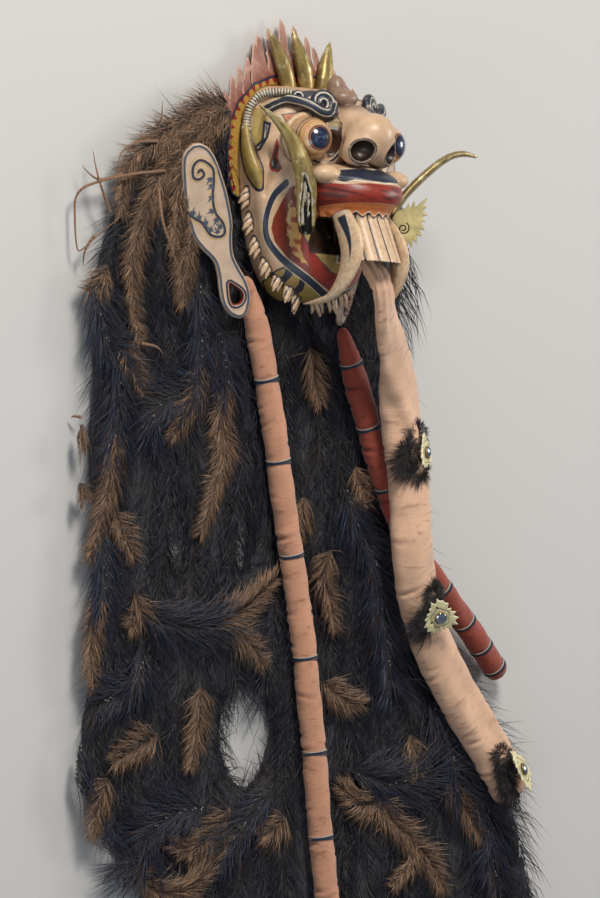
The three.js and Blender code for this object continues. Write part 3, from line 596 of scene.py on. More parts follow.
@dataclass(frozen=True)
class PaintedWood:
    """Oil paint on carved softwood: a satin skin, rubbed on the edges, with dirt and painted shade in the grooves.

    Attributes:
        name: Name of the material.
        ground: Colour of the ground coat.
        layers: Painted areas, each over the ones before it.
        roughness: Roughness of the paint.
        dirt_and_groove_shade: Colour of the dirt and painted shade in the hollows.
        rubbed: Colour that shows where an edge is worn.
    """

    name: str
    ground: str
    layers: tuple[Layer, ...] = ()
    roughness: float = 0.43
    dirt_and_groove_shade: str = "#4a3323"
    rubbed: str = "#dcc6a5"

    def make(self) -> bpy.types.Material:
        """Builds the material."""
        material, tree, shader = material_base(self.name, self.ground, self.roughness)
        cloudy = patches(tree, 22, 0.35, 0.75)
        colour = add_node(
            tree, *MIX, {0: cloudy, 6: rgba(self.ground), 7: rgba(self.ground, 0.72)}
        ).outputs[2]
        colour = painted(tree, colour, self.layers, patches(tree, 6, 0.42, 0.75), 0.65)
        hollow = add_node(tree, "ShaderNodeAttribute", {"attribute_name": "hollow"}, {}).outputs["Fac"]
        # Grooves are darkened in patches: partly dirt, partly painted shade.
        groove = add_node(tree, *RANGE, {"Value": hollow, "From Min": 0.15, "From Max": 0.8}).outputs[0]
        dirt_and_groove_shade_share = add_node(tree, *TIMES, {0: groove, 1: patches(tree, 9, 0.2, 0.6)}).outputs[0]
        colour = add_node(tree, *MIX, {0: dirt_and_groove_shade_share, 6: colour, 7: rgba(self.dirt_and_groove_shade)}).outputs[2]
        ridge = add_node(tree, *RANGE, {"Value": hollow, "From Min": -0.5, "From Max": -1.0}).outputs[0]
        worn = add_node(tree, *TIMES, {0: ridge, 1: patches(tree, 5, 0.56, 0.68)}).outputs[0]
        colour = add_node(tree, *MIX, {0: worn, 6: colour, 7: rgba(self.rubbed)}).outputs[2]
        tree.links.new(colour, shader.inputs["Base Color"])
        shader.inputs["Coat Weight"].default_value = 0.15
        shader.inputs["Coat Roughness"].default_value = 0.28
        grain_relief(tree, shader, patches(tree, 3.5, 0.2, 0.8), 0.3, 0.45)
        return material


# The carved head

HEAD_SECTIONS = (
    (67, 30, 0),
    (66, 62, 25),
    (57, 84, 54),
    (34, 102, 82),
    (0, 112, 93),
    (-50, 111, 95),
    (-100, 104, 95),
    (-145, 91, 92),
    (-180, 72, 88),
    (-199, 54, 74),
    (-210, 34, 42),
    (-212, 18, 0),
)
SNOUT_ROWS = (
    (-36, 52, 122),
    (-46, 66, 146),
    (-57, 73, 159),
    (-73, 75, 165),
    (-86, 68, 160),
    (-94, 60, 152),
    (-103, 58, 151),
    (-116, 59, 157),
    (-161, 63, 180),
)
SNOUT_BACK = 60.0
EYE_CENTRE = (66.0, -4.0, 84.0)
EYE_TURN = 16.0
NOSTRIL_CENTRE = (28.0, -19.0, 146.0)
NOSTRIL_RADII = (15.5, 13.5, 18.0)
EYE_BED = Ball((0, -6, 80), (54, 40, 30))


def hump(
    turn: np.ndarray, y: np.ndarray, middle: tuple[float, float], wide: tuple[float, float]
) -> np.ndarray:
    """A soft hump of height 1 round a place on the head, alike on both sides."""
    return np.exp(-(((np.abs(turn) - middle[0]) / wide[0]) ** 2) - ((y - middle[1]) / wide[1]) ** 2)


@dataclass(frozen=True)
class Dome:
    """The plain form of the head, or the hollow behind it.

    Attributes:
        inset: Distance that the surface is moved inwards.
        carved: Whether sockets, cheek hollows and the jaw band are cut in it.
        squareness: Power that makes the section squarer than an ellipse.
    """

    inset: float = 0.0
    carved: bool = True
    squareness: float = 0.86

    def reach(self) -> tuple[np.ndarray, np.ndarray]:
        """Lowest and highest corner of the head."""
        return np.array([-124.0, -220.0, -4.0]), np.array([124.0, 74.0, 108.0])

    def depth(self, x: np.ndarray, y: np.ndarray, z: np.ndarray) -> np.ndarray:
        """Distance outside the head, negative inside."""
        rows = smooth_line(HEAD_SECTIONS, 400)[::-1]
        half = np.maximum(np.interp(y, rows[:, 0], rows[:, 1]) - self.inset, 3)
        deep = np.maximum(np.interp(y, rows[:, 0], rows[:, 2]) - self.inset, 1)
        power = 1 / self.squareness
        s, c = (np.abs(x) / half) ** power, (np.maximum(z, 0) / deep) ** power
        gauge = np.maximum(np.hypot(s, c) ** self.squareness, 1e-3)
        out = np.hypot(x, np.maximum(z, 0)) * (1 - 1 / gauge)
        if self.carved:
            turn = np.degrees(np.arctan2(s, np.maximum(c, 1e-6)))
            out = out - self.relief(turn, y) * np.clip((90 - turn) / 15, 0, 1)
        ends = np.maximum(y - HEAD_SECTIONS[0][0] + self.inset, HEAD_SECTIONS[-1][0] + self.inset - y)
        return np.maximum(out, ends)

    @staticmethod
    def relief(turn: np.ndarray, y: np.ndarray) -> np.ndarray:
        """How far the carving stands out of the plain head."""
        parts = (
            (-15, (38, -4), (17, 27)),
            (-15, (50, -118), (12, 46)),
            (5, (70, -105), (8, 75)),
            (7, (28, 47), (24, 12)),
            (-9, (76, 12), (9, 34)),
        )
        return sum(height * hump(turn, y, middle, wide) for height, middle, wide in parts)


@dataclass(frozen=True)
class Snout:
    """The upper jaw: moustache, lip, gum and front teeth in one swelling wall.

    Attributes:
        inset: Distance that the surface is moved inwards.
        low: Height where it ends below.
        carved: Whether gum and teeth are cut in it.
        back: Height over the rim where it begins.
        roundness: Power that squares its section.
        tooth_turn: Degrees from one tooth to the next.
        teeth_turn: Degrees from the front where the teeth end.
        gum_edge: Height of the gum's edge.
    """

    inset: float = 0.0
    low: float = -161.0
    carved: bool = True
    back: float = SNOUT_BACK
    roundness: float = 0.8
    tooth_turn: float = 16.0
    teeth_turn: float = 49.0
    gum_edge: float = -101.0

    def reach(self) -> tuple[np.ndarray, np.ndarray]:
        """Lowest and highest corner of the upper jaw."""
        return np.array([-78.0, self.low - 2, self.back - 2]), np.array([78.0, -33.0, 188.0])

    def turn_at(self, x: np.ndarray, y: np.ndarray, z: np.ndarray) -> np.ndarray:
        """Turn of a place round the jaw from its front, in degrees."""
        rows = smooth_line(SNOUT_ROWS, 300)[::-1]
        half = np.interp(y, rows[:, 0], rows[:, 1])
        front = np.interp(y, rows[:, 0], rows[:, 2]) - self.back
        s, c = x / half, (np.maximum(z - self.back, 0) / front) ** (1 / self.roundness)
        return np.degrees(np.arctan2(s, np.maximum(c, 1e-6)))

    def depth(self, x: np.ndarray, y: np.ndarray, z: np.ndarray) -> np.ndarray:
        """Distance outside the upper jaw, negative inside."""
        rows = smooth_line(SNOUT_ROWS, 300)[::-1]
        half = np.interp(y, rows[:, 0], rows[:, 1]) - self.inset
        front = np.interp(y, rows[:, 0], rows[:, 2]) - self.inset - self.back
        ahead = np.maximum(z - self.back, 0)
        s, c = np.abs(x) / half, (ahead / front) ** (1 / self.roundness)
        gauge = np.maximum((s * s + c * c) ** 0.5, 1e-3) ** 0.9
        out = np.hypot(x, ahead) * (1 - 1 / gauge)
        if self.carved:
            out = out + self.teeth(x, y, z)
            beside = (np.abs(self.turn_at(x, y, z)) - self.teeth_turn) * 1.1
            out = np.maximum(out, np.minimum(beside, self.gum_edge - 4 - y))
        return np.maximum(np.maximum(out, self.back - z), np.maximum(y + 36, self.low - y))

    def teeth(self, x: np.ndarray, y: np.ndarray, z: np.ndarray) -> np.ndarray:
        """Depth of the gaps between the teeth and of the step below the gum."""
        turn = self.turn_at(x, y, z)
        phase = turn / self.tooth_turn
        gap = np.abs(phase - np.round(phase)) * self.tooth_turn * 1.1
        edge = self.gum_edge - 2.5 * np.cos(2 * math.pi * (phase - 0.5))
        below = np.clip((edge - y) / 2.5, 0, 1)
        groove = 2.6 * np.exp(-((gap / 1.3) ** 2)) * below
        belly = -1.2 * np.cos(2 * math.pi * (phase - 0.5)) * below
        lip = 2.4 * np.exp(-(((y + 58 + 2 * np.cos(np.radians(turn) * 3)) / 2.2) ** 2))
        gum = 1.8 * np.exp(-(((y + 88) / 2.2) ** 2))
        return groove + belly * 0.5 + 2.2 * below + lip + gum


def both(points: Sequence[Point], sign: int) -> tuple[Point, ...]:
    """Points for one side of the face: given for the right side, mirrored for the left."""
    return tuple((-sign * x, y, z) for x, y, z in points)


SIDES = (("right", -1), ("left", 1))


def section_at(share: float) -> np.ndarray:
    """Height, half width and depth of the head at a share of the way down its sections."""
    rows = np.array(HEAD_SECTIONS, dtype=float)
    at = share * (len(rows) - 1)
    return np.array([np.interp(at, np.arange(len(rows)), rows[:, k]) for k in range(3)])


def head_point(turn: float, share: float, offset: float) -> np.ndarray:
    """A point on the plain head, moved outwards.

    Args:
        turn: Degrees from the front, negative to the right side of the face.
        share: Share of the way down the head's sections.
        offset: Distance in front of the surface.

    Returns:
        The point in the mask's frame.
    """
    y, half, deep = section_at(share)
    s, c = math.sin(math.radians(turn)), max(math.cos(math.radians(turn)), 0)
    x = (half + offset) * math.copysign(abs(s) ** 0.86, s)
    z = (deep + offset * min(1, deep / 30)) * c**0.86
    return np.array([x, y + offset * math.cos(share * math.pi), z])


def ring(
    centre: Point, turn: float, radius: float, ahead: float, start: float = 0, stop: float = 360
) -> tuple[Point, ...]:
    """Points on a circle that faces forwards, turned round the vertical.

    Args:
        centre: Middle of the circle.
        turn: Degrees that it is turned away from the front.
        radius: Its radius.
        ahead: Distance that it is moved along its own axis.
        start: First angle.
        stop: Last angle.

    Returns:
        The points in order.
    """
    c, s = math.cos(math.radians(turn)), math.sin(math.radians(turn))
    points = []
    for angle in np.radians(np.linspace(start, stop, 19)):
        u, v = radius * math.cos(angle), radius * math.sin(angle)
        points.append((centre[0] + c * u + s * ahead, centre[1] + v, centre[2] - s * u + c * ahead))
    return tuple(points)


def spiral(
    centre: Point, tilt: float, turn: float, start: float, turns: float, radii: tuple[float, float], way: int
) -> tuple[Point, ...]:
    """Points on a flat spiral that winds inwards.

    Args:
        centre: Middle of the spiral.
        tilt: Degrees that its plane leans back.
        turn: Degrees that its plane turns to the side.
        start: Angle of its outer end in degrees.
        turns: Number of turns.
        radii: Outer and inner radius.
        way: 1 to wind anticlockwise seen from the front, -1 for clockwise.

    Returns:
        The points, from the outer end.
    """
    frame_of = Matrix.Rotation(math.radians(turn), 3, "Y") @ Matrix.Rotation(math.radians(tilt), 3, "X")
    count = int(turns * 14) + 1
    points = []
    for k in range(count):
        share = k / (count - 1)
        angle = math.radians(start + way * 360 * turns * share)
        radius = radii[0] + (radii[1] - radii[0]) * share**0.8
        flat = Vector((radius * math.cos(angle), radius * math.sin(angle), 2.5 * share))
        points.append(tuple(Vector(centre) + frame_of @ flat))
    return tuple(points)


FANG_LINES = {
    "right": (
        (-47, -103, 130), (-51, -134, 152), (-54, -160, 158), (-56, -189, 147), (-58, -210, 124),
        (-61, -219, 78)
    ),
    "left": ((47, -103, 112), (50, -134, 134), (52, -160, 141), (54, -184, 136), (56, -203, 124)),
}
MOUTH_EDGE = ((0, -60), (26, -62), (27, -84), (25, -104), (20, -120), (13, -134), (6, -144), (0, -147))

# Outlines of the painted areas on a side view at 45 degrees: distance in front of the side, height
RECESS = (
    (-14, -68), (-29, -88), (-42, -108), (-45, -122), (-38, -139), (-13, -159), (12, -171), (41, -187),
    (74, -202), (93, -190), (95, -159), (82, -130), (62, -100), (48, -68), (20, -60)
)
CHEEK_LINE = (
    (-21, -63), (-42, -79), (-53, -100), (-56, -120), (-50, -138), (-30, -156), (-4, -171), (29, -187),
    (58, -203), (76, -210)
)
WORN_PATCH = (
    (-13, -85), (-3, -93), (6, -113), (9, -130), (27, -153), (32, -167), (14, -165), (-5, -150), (-15, -127),
    (-18, -105)
)
RED_BAND = ((11, -130), (30, -147), (56, -169), (85, -189), (81, -200), (49, -186), (24, -166), (10, -147))
OCHRE_BAND = (
    (-2, -106), (14, -108), (32, -118), (52, -134), (70, -150), (91, -160), (90, -180), (68, -175),
    (43, -158), (22, -138), (6, -120)
)
JAW_OCHRE = (
    (-59, -189), (-32, -174), (-12, -168), (13, -182), (41, -197), (62, -207), (35, -222), (-5, -222),
    (-48, -209)
)
JAW_STRIPES = (
    ((-33, -189), (-19, -181), (-12, -165), (-2, -165), (-3, -181), (-21, -195)),
    ((-6, -203), (9, -192), (12, -180), (23, -184), (18, -199), (2, -207)),
)
EAR_PIT = (
    (-42, -5), (-36, -16), (-39, -30), (-30, -44), (-37, -50), (-50, -48), (-55, -41), (-49, -27), (-46, -13)
)
TEMPLE_OCHRE = ((-96, 34), (-73, 34), (-62, 18), (-66, -5), (-85, -19), (-98, -8), (-105, 6), (-102, 23))
TEMPLE_STRIPE = ((-68, 18), (-53, 14), (-58, -5), (-71, -22), (-85, -26), (-87, -20), (-70, -8))
BROW_LINE = ((-66, 34), (-45, 42), (-24, 46), (14, 40), (38, 31), (55, 31), (60, 43))
EYE_LINE = ((6, -22), (24, -31), (46, -35), (62, -30), (75, -18), (82, 0))
LASH_PANEL = ((-36, 26), (-4, 30), (28, 24), (20, 16), (-4, 20), (-19, 9))
# Painted shadow in the eye's inner corner, between the eyeball and the nose
EYE_CORNER_SHADOW = ((48, 14), (66, 13), (84, 12), (84, 0), (77, -14), (66, -25), (52, -28), (46, -10))
EYE_GOLD = ((50, 20), (66, 21), (84, 18), (84, 8), (66, 8), (52, 10))
FOREHEAD_SWIRL = ((-22, 52), (-2, 59), (18, 62), (34, 61), (14, 52), (-1, 44), (-13, 44))
MOUSTACHE = (
    (48, -46), (84, -43), (120, -40), (170, -44), (200, -50), (200, -60), (145, -57), (105, -56), (85, -60),
    (49, -56), (37, -54)
)
LIP = ((35, -61), (85, -63), (129, -60), (200, -61), (200, -84), (146, -85), (98, -86), (67, -89), (35, -93))
GUM = ((35, -93), (98, -86), (200, -85), (200, -104), (30, -122))


@dataclass(frozen=True)
class Mouth:
    """The opening of the mouth, which only cuts.

    Attributes:
        low: Height over the rim where it begins.
    """

    low: float = 42.0

    def reach(self) -> tuple[np.ndarray, np.ndarray]:
        """Lowest and highest corner of the opening."""
        return np.array([-95.0, -160.0, self.low]), np.array([95.0, -55.0, 190.0])

    def depth(self, x: np.ndarray, y: np.ndarray, z: np.ndarray) -> np.ndarray:
        """Distance outside the opening, negative inside."""
        turn = np.degrees(np.arctan2(x / 1.2, np.maximum(z, 1)))
        right = [(-t, h) for t, h in MOUTH_EDGE[1:-1][::-1]]
        inside = inside_outline(
            turn * 1.6 + 0 * y, y + 0 * turn, [(t * 1.6, h) for t, h in (*MOUTH_EDGE, *right)]
        )
        return np.maximum(-inside, self.low - z)


@dataclass(frozen=True)
class MaskHead:
    """The carved head: face, jaws, fangs, brows, temples and jaw curls.

    Attributes:
        wall: Thickness of the wood.
        grain: Fineness of the carving.
        jaw_groups: Groups of small leaf tips along each side of the jaw.
    """

    wall: float = 19.0
    grain: float = 1.75
    jaw_groups: int = 8

    def nose(self) -> list[tuple[Form, float]]:
        """Nose, wings, bridge, forehead knob and cheek bulbs, each with its blend distance."""
        return [
            (Ball((0, 3, 125), (32, 30, 34)), 12),
            (Ball((0, 21, 98), (24, 23, 24)), 12),
            (Ball((3, 10, 137), (20, 17, 17)), 12),
            *((Ball((sign * 22, -17, 128), (21.5, 20, 24)), 12) for _, sign in SIDES),
            (Ball((0, 53, 77), (20, 13, 17)), 5),
            (Ball((-2, 66, 64), (12, 17, 12)), 6),
            *((Ball((sign * 63, -50, 114), (21, 12, 15)), 5) for _, sign in SIDES),
        ]

    def nostrils(self, grow: float = 0.0) -> list[Ball]:
        """The holes of the nostrils, made larger by a distance."""
        x, y, z = NOSTRIL_CENTRE
        radii = tuple(radius + grow for radius in NOSTRIL_RADII)
        return [Ball((sign * x, y, z), radii) for _, sign in SIDES]

    def fangs(self) -> list[Rod]:
        """The two curled fangs."""
        widths = {"right": (16, 20.5, 20, 17, 12, 1.8), "left": (12, 16, 17.5, 16, 11)}
        return [Rod(FANG_LINES[name], widths[name], (0, 0.35, 1), 0.36) for name, _ in SIDES]

    def brow_arms(self) -> list[Rod]:
        """The fat lines that run inwards over the eyes."""
        line = ((-98, 30, 38), (-84, 46, 60), (-66, 40, 80), (-52, 31, 90), (-38, 31, 95), (-31, 43, 90))
        return [Rod(both(line, -sign), (2.5, 5.0, 6.5, 7.5, 7.0, 5)) for _, sign in SIDES]

    def scrolls(self) -> list[Rod]:
        """The spirals at the inner ends of the brows, and a smaller curl behind each."""
        forms = []
        for _, sign in SIDES:
            start = 250 if sign < 0 else 290
            line = spiral((sign * 45, 43, 82), -12, sign * 24, start, 1.8, (19, 3.5), -sign)
            forms.append(Rod(line, (6.8, 6, 5, 3.8), steps=34))
            start = 200 if sign < 0 else 340
            line = spiral((sign * 69, 50, 60), -20, sign * 34, start, 1.1, (11, 3), -sign)
            forms.append(Rod(line, (4.5, 4, 3)))
        return forms

    def temples(self) -> list[Rod]:
        """The gilded crescents on the temples."""
        line = ((-103, -70, 34), (-108, -52, 29), (-113, -26, 20), (-114, 0, 14), (-112, 22, 11))
        return [
            Rod(both(line, -sign), (7, 14.5, 12, 8, 3.5), (-0.4 * sign, 0.1, 1), 0.62) for _, sign in SIDES
        ]

    def cords(self) -> list[Rod]:
        """The striped cords that arch over the temples."""
        line = ((-112, 8, 12), (-109, 34, 15), (-98, 51, 24), (-82, 56, 40), (-68, 55, 56))
        return [Rod(both(line, -sign), (5, 5, 5, 5, 4), None, 1.0, 0.8, 4.2, 26) for _, sign in SIDES]

    def lids(self) -> list[Rod]:
        """The rims that the eyeballs sit in."""
        x, y, z = EYE_CENTRE
        rings = [ring((sign * x, y, z), sign * EYE_TURN, 30.5, -11) for _, sign in SIDES]
        return [Rod(line, (4.5,), steps=30) for line in rings]

    def curls(self) -> list[Rod]:
        """The pointed leaf tips along the edge of the jaw, three to a group."""
        forms = []
        for _, sign in SIDES:
            for k in range(self.jaw_groups):
                share = k / (self.jaw_groups - 1)
                down = 0.5 + 0.43 * share
                turn = sign * (83 - 49 * share**2.2)
                for lobe in (-1, 0, 1):
                    foot = head_point(turn - sign * lobe * 2.6 * share, down + lobe * 0.01, -5)
                    end = min(down + 0.02 + lobe * 0.016, 1)
                    tip = head_point(turn + sign * 2 - sign * lobe * 3.6 * share, end, 11.5 - 4 * abs(lobe))
                    tip = tip + np.array([0, -4 - 3 * share, -3.0 + 3 * share])
                    tip[2] = max(tip[2], 3)
                    middle = (foot + tip) / 2 + np.array([sign * 1.2, 0, 1.5])
                    widths = (4.6, 4.7, 3.9, 1.4) if lobe == 0 else (4.0, 4.0, 3.2, 1.2)
                    forms.append(Rod((tuple(foot), tuple(middle), tuple(tip)), widths, steps=4))
        return forms

    def lips(self) -> list[Rod]:
        """The rolled edge of the mouth's opening on each cheek."""
        forms = []
        rows = smooth_line(HEAD_SECTIONS, 300)[::-1]
        for _, sign in SIDES:
            line = []
            for turn, y in MOUTH_EDGE[1:-1]:
                half, deep = np.interp(y, rows[:, 0], rows[:, 1]), np.interp(y, rows[:, 0], rows[:, 2])
                angle = math.radians(turn + 2 - 8 * min(1, max(0, (-90 - y) / 25)))
                across = sign * (half - 6) * math.sin(angle) ** 0.86
                line.append((across, y, (deep - 6) * math.cos(angle) ** 0.86))
            forms.append(Rod(tuple(line), (3.5, 5.0, 8.5, 10.0, 9.5, 7.0)))
        return forms

    def carve(self) -> Clay:
        """Carves the head from a block."""
        clay = Clay((-134, -234, -4), (134, 100, 192), self.grain)
        clay.add(Dome())
        clay.add(EYE_BED, 16)
        for form, blend in self.nose():
            clay.add(form, blend)
        for _, sign in SIDES:
            clay.cut(Ball((sign * 40, -8, 102), (9, 14, 16)), 6)
            clay.cut(Ball((sign * 99, -24, 54), (7, 22, 9)), 4)
            clay.cut(Rod(both(((-92, -40, 62), (-100, -56, 50), (-103, -78, 44)), -sign), (5, 6, 2)), 5)
        clay.cut(Dome(self.wall, False), 2)
        clay.cut(Mouth(), 2)
        for form in self.lips():
            clay.add(form, 6)
        clay.add(Snout(), 5)
        clay.cut(SnoutHollow(), 2)
        for hole in self.nostrils():
            clay.cut(hole, 5)
        for form in self.lids() + self.brow_arms():
            clay.add(form, 4)
        for form in self.scrolls() + self.cords() + self.temples() + self.curls():
            clay.add(form, 1.5)
        for form in self.fangs():
            clay.add(form, 3)
        clay.cut(Block((-200, -300, -50), (200, 200, 0)))
        return clay

    def paint(self, clay: Clay, points: np.ndarray) -> dict[str, np.ndarray]:
        """Measures the painted areas at each point.

        Args:
            clay: The carved block.
            points: Points of its surface.

        Returns:
            Distance inside each painted area, by name.
        """
        x, y, z = points.T
        ahead = z - np.abs(x)

        def least(forms: Sequence[Form]) -> np.ndarray:
            """Distance to the nearest of some forms."""
            return np.min([form.depth(x, y, z) for form in forms], axis=0)

        def area(outline: Sequence[Sequence[float]]) -> np.ndarray:
            """Distance inside a painted outline, seen from the mask's right."""
            return inside_outline(ahead, y, outline)

        parts = {
            "head": least([Dome(), EYE_BED, *self.lips()]),
            "snout": Snout().depth(x, y, z),
            "nose": least([form for form, _ in self.nose()]),
            "brow": least(self.brow_arms()) - 0.6,
            "scroll": least(self.scrolls()) - 0.6,
            "cord": least(self.cords()) - 0.6,
            "gold": least(self.temples()) - 0.5,
            "lid": least(self.lids()) - 0.4,
            "curl": least(self.curls()) - 0.3,
            "fang": least(self.fangs()) - 0.8,
        }
        table = np.array(list(parts.values()))
        first = np.sort(table, axis=0)[:2]
        margin = {key: np.where(d == first[0], first[1] - d, first[0] - d) for key, d in parts.items()}
        snout, head, gold, fang = (margin[key] for key in ("snout", "head", "gold", "fang"))
        line = near_line(ahead, y, smooth_line(CHEEK_LINE, 40))
        brow = near_line(ahead, y, smooth_line(BROW_LINE, 30))
        under_eye = near_line(ahead, y, smooth_line(EYE_LINE, 30))
        lobes = np.sort([form.depth(x, y, z) for form in self.curls()], axis=0)[:2]
        jaw = Snout()
        phase = jaw.turn_at(x, y, z) / jaw.tooth_turn
        gap = np.abs(phase - np.round(phase)) * jaw.tooth_turn * 1.1
        corner = np.clip((np.abs(jaw.turn_at(x, y, z)) - 42) / 8, 0, 1)
        scallop = jaw.gum_edge - 2.5 * np.cos(2 * math.pi * (phase - 0.5)) - 14 * corner
        teeth = np.minimum(scallop - y, snout + 1)
        nostril = -least(self.nostrils(1.3))
        pit = np.minimum(area(EAR_PIT), head)
        fang_wedge = np.minimum(self.wedge(points), fang)
        hollows = [np.abs(form.depth(x, y, z)) for form in (Dome(self.wall, False), SnoutHollow(), Mouth())]
        hollows[2] += 0.8 + np.maximum(z - 96, 0)
        inner = np.min(hollows, axis=0)
        blue = [
            np.minimum(5.0 - line, head),
            *(np.minimum(area(stripe), head + 1) for stripe in JAW_STRIPES),
            np.minimum(area(TEMPLE_STRIPE), head),
            np.minimum(area(MOUSTACHE), snout),
            np.minimum(area(FOREHEAD_SWIRL), head),
            margin["brow"],
            np.minimum(3.4 - brow, head),
            margin["scroll"],
            np.minimum(1.7 - under_eye, head),
            1.3 - np.abs(gold + 1.0),
            0.9 - np.abs(margin["nose"] + 1.2) - np.maximum(0, 12 - np.abs(x)),
            np.minimum(1.3 - gap, teeth),
            np.minimum(1.2 - np.abs(y - scallop), snout),
            1.1 - np.abs(margin["lid"] + 0.6),
            1.0 - np.abs(nostril + 1.6),
            np.minimum(1.1 - (lobes[1] - lobes[0]), margin["curl"] + 1),
            1.2 - np.abs(margin["curl"] + 0.8),
            np.minimum(1.2 - np.abs(area(JAW_OCHRE) - 1.5), head),
            np.minimum(0.9 - np.abs(area(OCHRE_BAND) - 0.5), head),
            np.minimum(1.0 - np.abs(area(LASH_PANEL) - 0.5), head),
            fang_wedge,
            1.0 - np.abs(fang + 0.4),
        ]
        pale = [
            np.minimum(0.6 - np.abs(line - 5.6), head),
            np.minimum(0.8 - np.abs(brow - 4.3), margin["brow"] + 0.5),
            np.minimum(0.7 - np.abs(brow - 4.2), head),
            np.minimum(0.7 - np.abs(under_eye - 2.5), head),
            np.minimum(0.8 - np.abs(area(MOUSTACHE) + 1.0), snout),
            np.minimum(0.9 - np.abs(y - scallop - 2.2), snout),
            np.minimum(0.8 - np.abs(area(TEMPLE_STRIPE) - 5), head),
            np.minimum(0.7 - np.abs(fang_wedge + 1.6), fang),
            np.minimum(self.crest_of_scroll(points), margin["scroll"]),
            np.minimum(self.cord_stripes(points), margin["cord"] + 1),
        ]
        ochre = [np.minimum(area(outline), head) for outline in (OCHRE_BAND, JAW_OCHRE, TEMPLE_OCHRE)]
        worn = area(WORN_PATCH)
        smears = 5 * np.sin(x * 0.15 + 2.2 * np.sin(y * 0.26)) * np.sin(y * 0.42 + x * 0.06) - 1.4
        return {
            "hollow": clay.hollowness(points),
            "recess": np.minimum(area(RECESS), head),
            "worn": np.minimum(worn + 2.5 * np.sin(x * 0.9 + y * 0.31) * np.sin(y * 0.5), head),
            "red": np.max([np.minimum(area(LIP), snout), np.minimum(area(RED_BAND), head), pit], axis=0),
            "orange": np.max([np.minimum(area(GUM), snout), np.minimum(area(LASH_PANEL), head)], axis=0),
            "ochre": np.max([*ochre, gold], axis=0),
            "ivory": np.max([fang, teeth, margin["curl"]], axis=0),
            "gilt": np.minimum(area(EYE_GOLD), head),
            # Painted shadow in the eye's inner corner.
            "shade": np.minimum(area(EYE_CORNER_SHADOW), head),
            "dust": np.minimum(np.minimum(y - 36, 27 - np.abs(x)), margin["nose"] + 4),
            "smudge": np.minimum(area(LIP) - 4, smears),
            "streak": np.minimum(worn - 1, 3 * np.sin(x * 0.7 + y * 0.25) * np.sin(y * 0.33) - 1.0),
            "dark": np.max([nostril, pit - 3.5, margin["cord"]], axis=0),
            "blue": np.max(blue, axis=0),
            "pale": np.max(pale, axis=0),
            "raw": 2.2 - inner,
        }

    def wedge(self, points: np.ndarray) -> np.ndarray:
        """Distance inside the dark wedge painted on the upper part of each fang."""
        best = np.full(len(points), ABSENT)
        for form in self.fangs():
            distance, share = form.measure(*points.T)
            spine = smooth_line(form.line, 60)
            which = np.clip((share * 59).astype(int), 0, 59)
            sideways = (points - spine[which]) @ np.array([0.25, 0.3, 0.92])
            width = 7.5 * np.clip(1 - share / 0.42, 0, 1)
            value = width - np.abs(sideways - 1.5)
            best = np.maximum(best, np.where(distance < 2, np.minimum(value, (share - 0.02) * 60), ABSENT))
        return best

    def cord_stripes(self, points: np.ndarray) -> np.ndarray:
        """Distance inside the pale turns of the striped cords."""
        best = np.full(len(points), ABSENT)
        for form in self.cords():
            distance, share = form.measure(*points.T)
            best = np.where(distance < 2.5, np.cos(2 * math.pi * share * 112 / 4.6) * 1.4 + 0.2, best)
        return best

    def crest_of_scroll(self, points: np.ndarray) -> np.ndarray:
        """Distance inside the pale line that runs along the top of each scroll."""
        best = np.full(len(points), ABSENT)
        for form in self.scrolls():
            spine = smooth_line(form.line, 60)
            toward = spine.mean(axis=0)
            tilt = Vector((math.copysign(0.4, toward[0]), 0.2, 0.9)).normalized()
            normal = np.array(tilt)
            u = np.array(tilt.orthogonal().normalized())
            v = np.cross(normal, u)
            lateral = near_line(points @ u, points @ v, np.column_stack([spine @ u, spine @ v]))
            best = np.maximum(best, 1.0 - lateral)
        return best

    def build(self) -> bpy.types.Object:
        """Carves and paints the head, and puts it in place of the plain solid."""
        clay = self.carve()
        points, faces = clay.mesh()
        layers = (
            Layer("recess", "#7c2f1d", 1.5),
            Layer("worn", "#d3a763", 1.2),
            Layer("streak", "#a4552f", 1.6),
            Layer("red", "#8f2a1c"),
            Layer("smudge", "#541a12", 4.5),
            Layer("orange", "#c8733a"),
            Layer("ochre", "#a58c4e", 0.8),
            Layer("ivory", "#d3b491", 0.8),
            Layer("dust", "#8f735f", 9),
            Layer("gilt", "#8f7a48", 1.5),
            # Dark brown painted shadow at the eye's inner corner
            Layer("shade", "#3d2619", 3.0),
            Layer("dark", "#1d110c", 1.2),
            Layer("blue", "#1f2739", 0.9),
            Layer("pale", "#cfc4ad", 0.8),
            Layer("raw", "#2c1a12", 1.5),
        )
        paint = PaintedWood("Oil-painted softwood, flesh and blue", "#cfad8b", layers)
        piece = make_piece(
            "mask_head", points, faces, Place.MASK, paint.make(), True, self.paint(clay, points)
        )
        self.lighten(piece)
        return finish_piece(piece, "face_wood", "mask_face")

    @staticmethod
    def lighten(piece: bpy.types.Object) -> None:
        """Makes the mesh coarser inside the hollow, where only raw wood shows."""
        raw = stored(piece.data, "raw")
        group = piece.vertex_groups.new(name="inside")
        group.add([int(i) for i in np.flatnonzero(raw > 0.8)], 1.0, "REPLACE")
        deselect()
        coarser = piece.modifiers.new("Coarser", "DECIMATE")
        coarser.ratio = HEAD_TRIANGLES / sum(len(face.vertices) - 2 for face in piece.data.polygons)
        coarser.vertex_group = "inside"
        piece.select_set(True)
        bpy.context.view_layer.objects.active = piece
        bpy.ops.object.modifier_apply(modifier=coarser.name)
        piece.vertex_groups.clear()


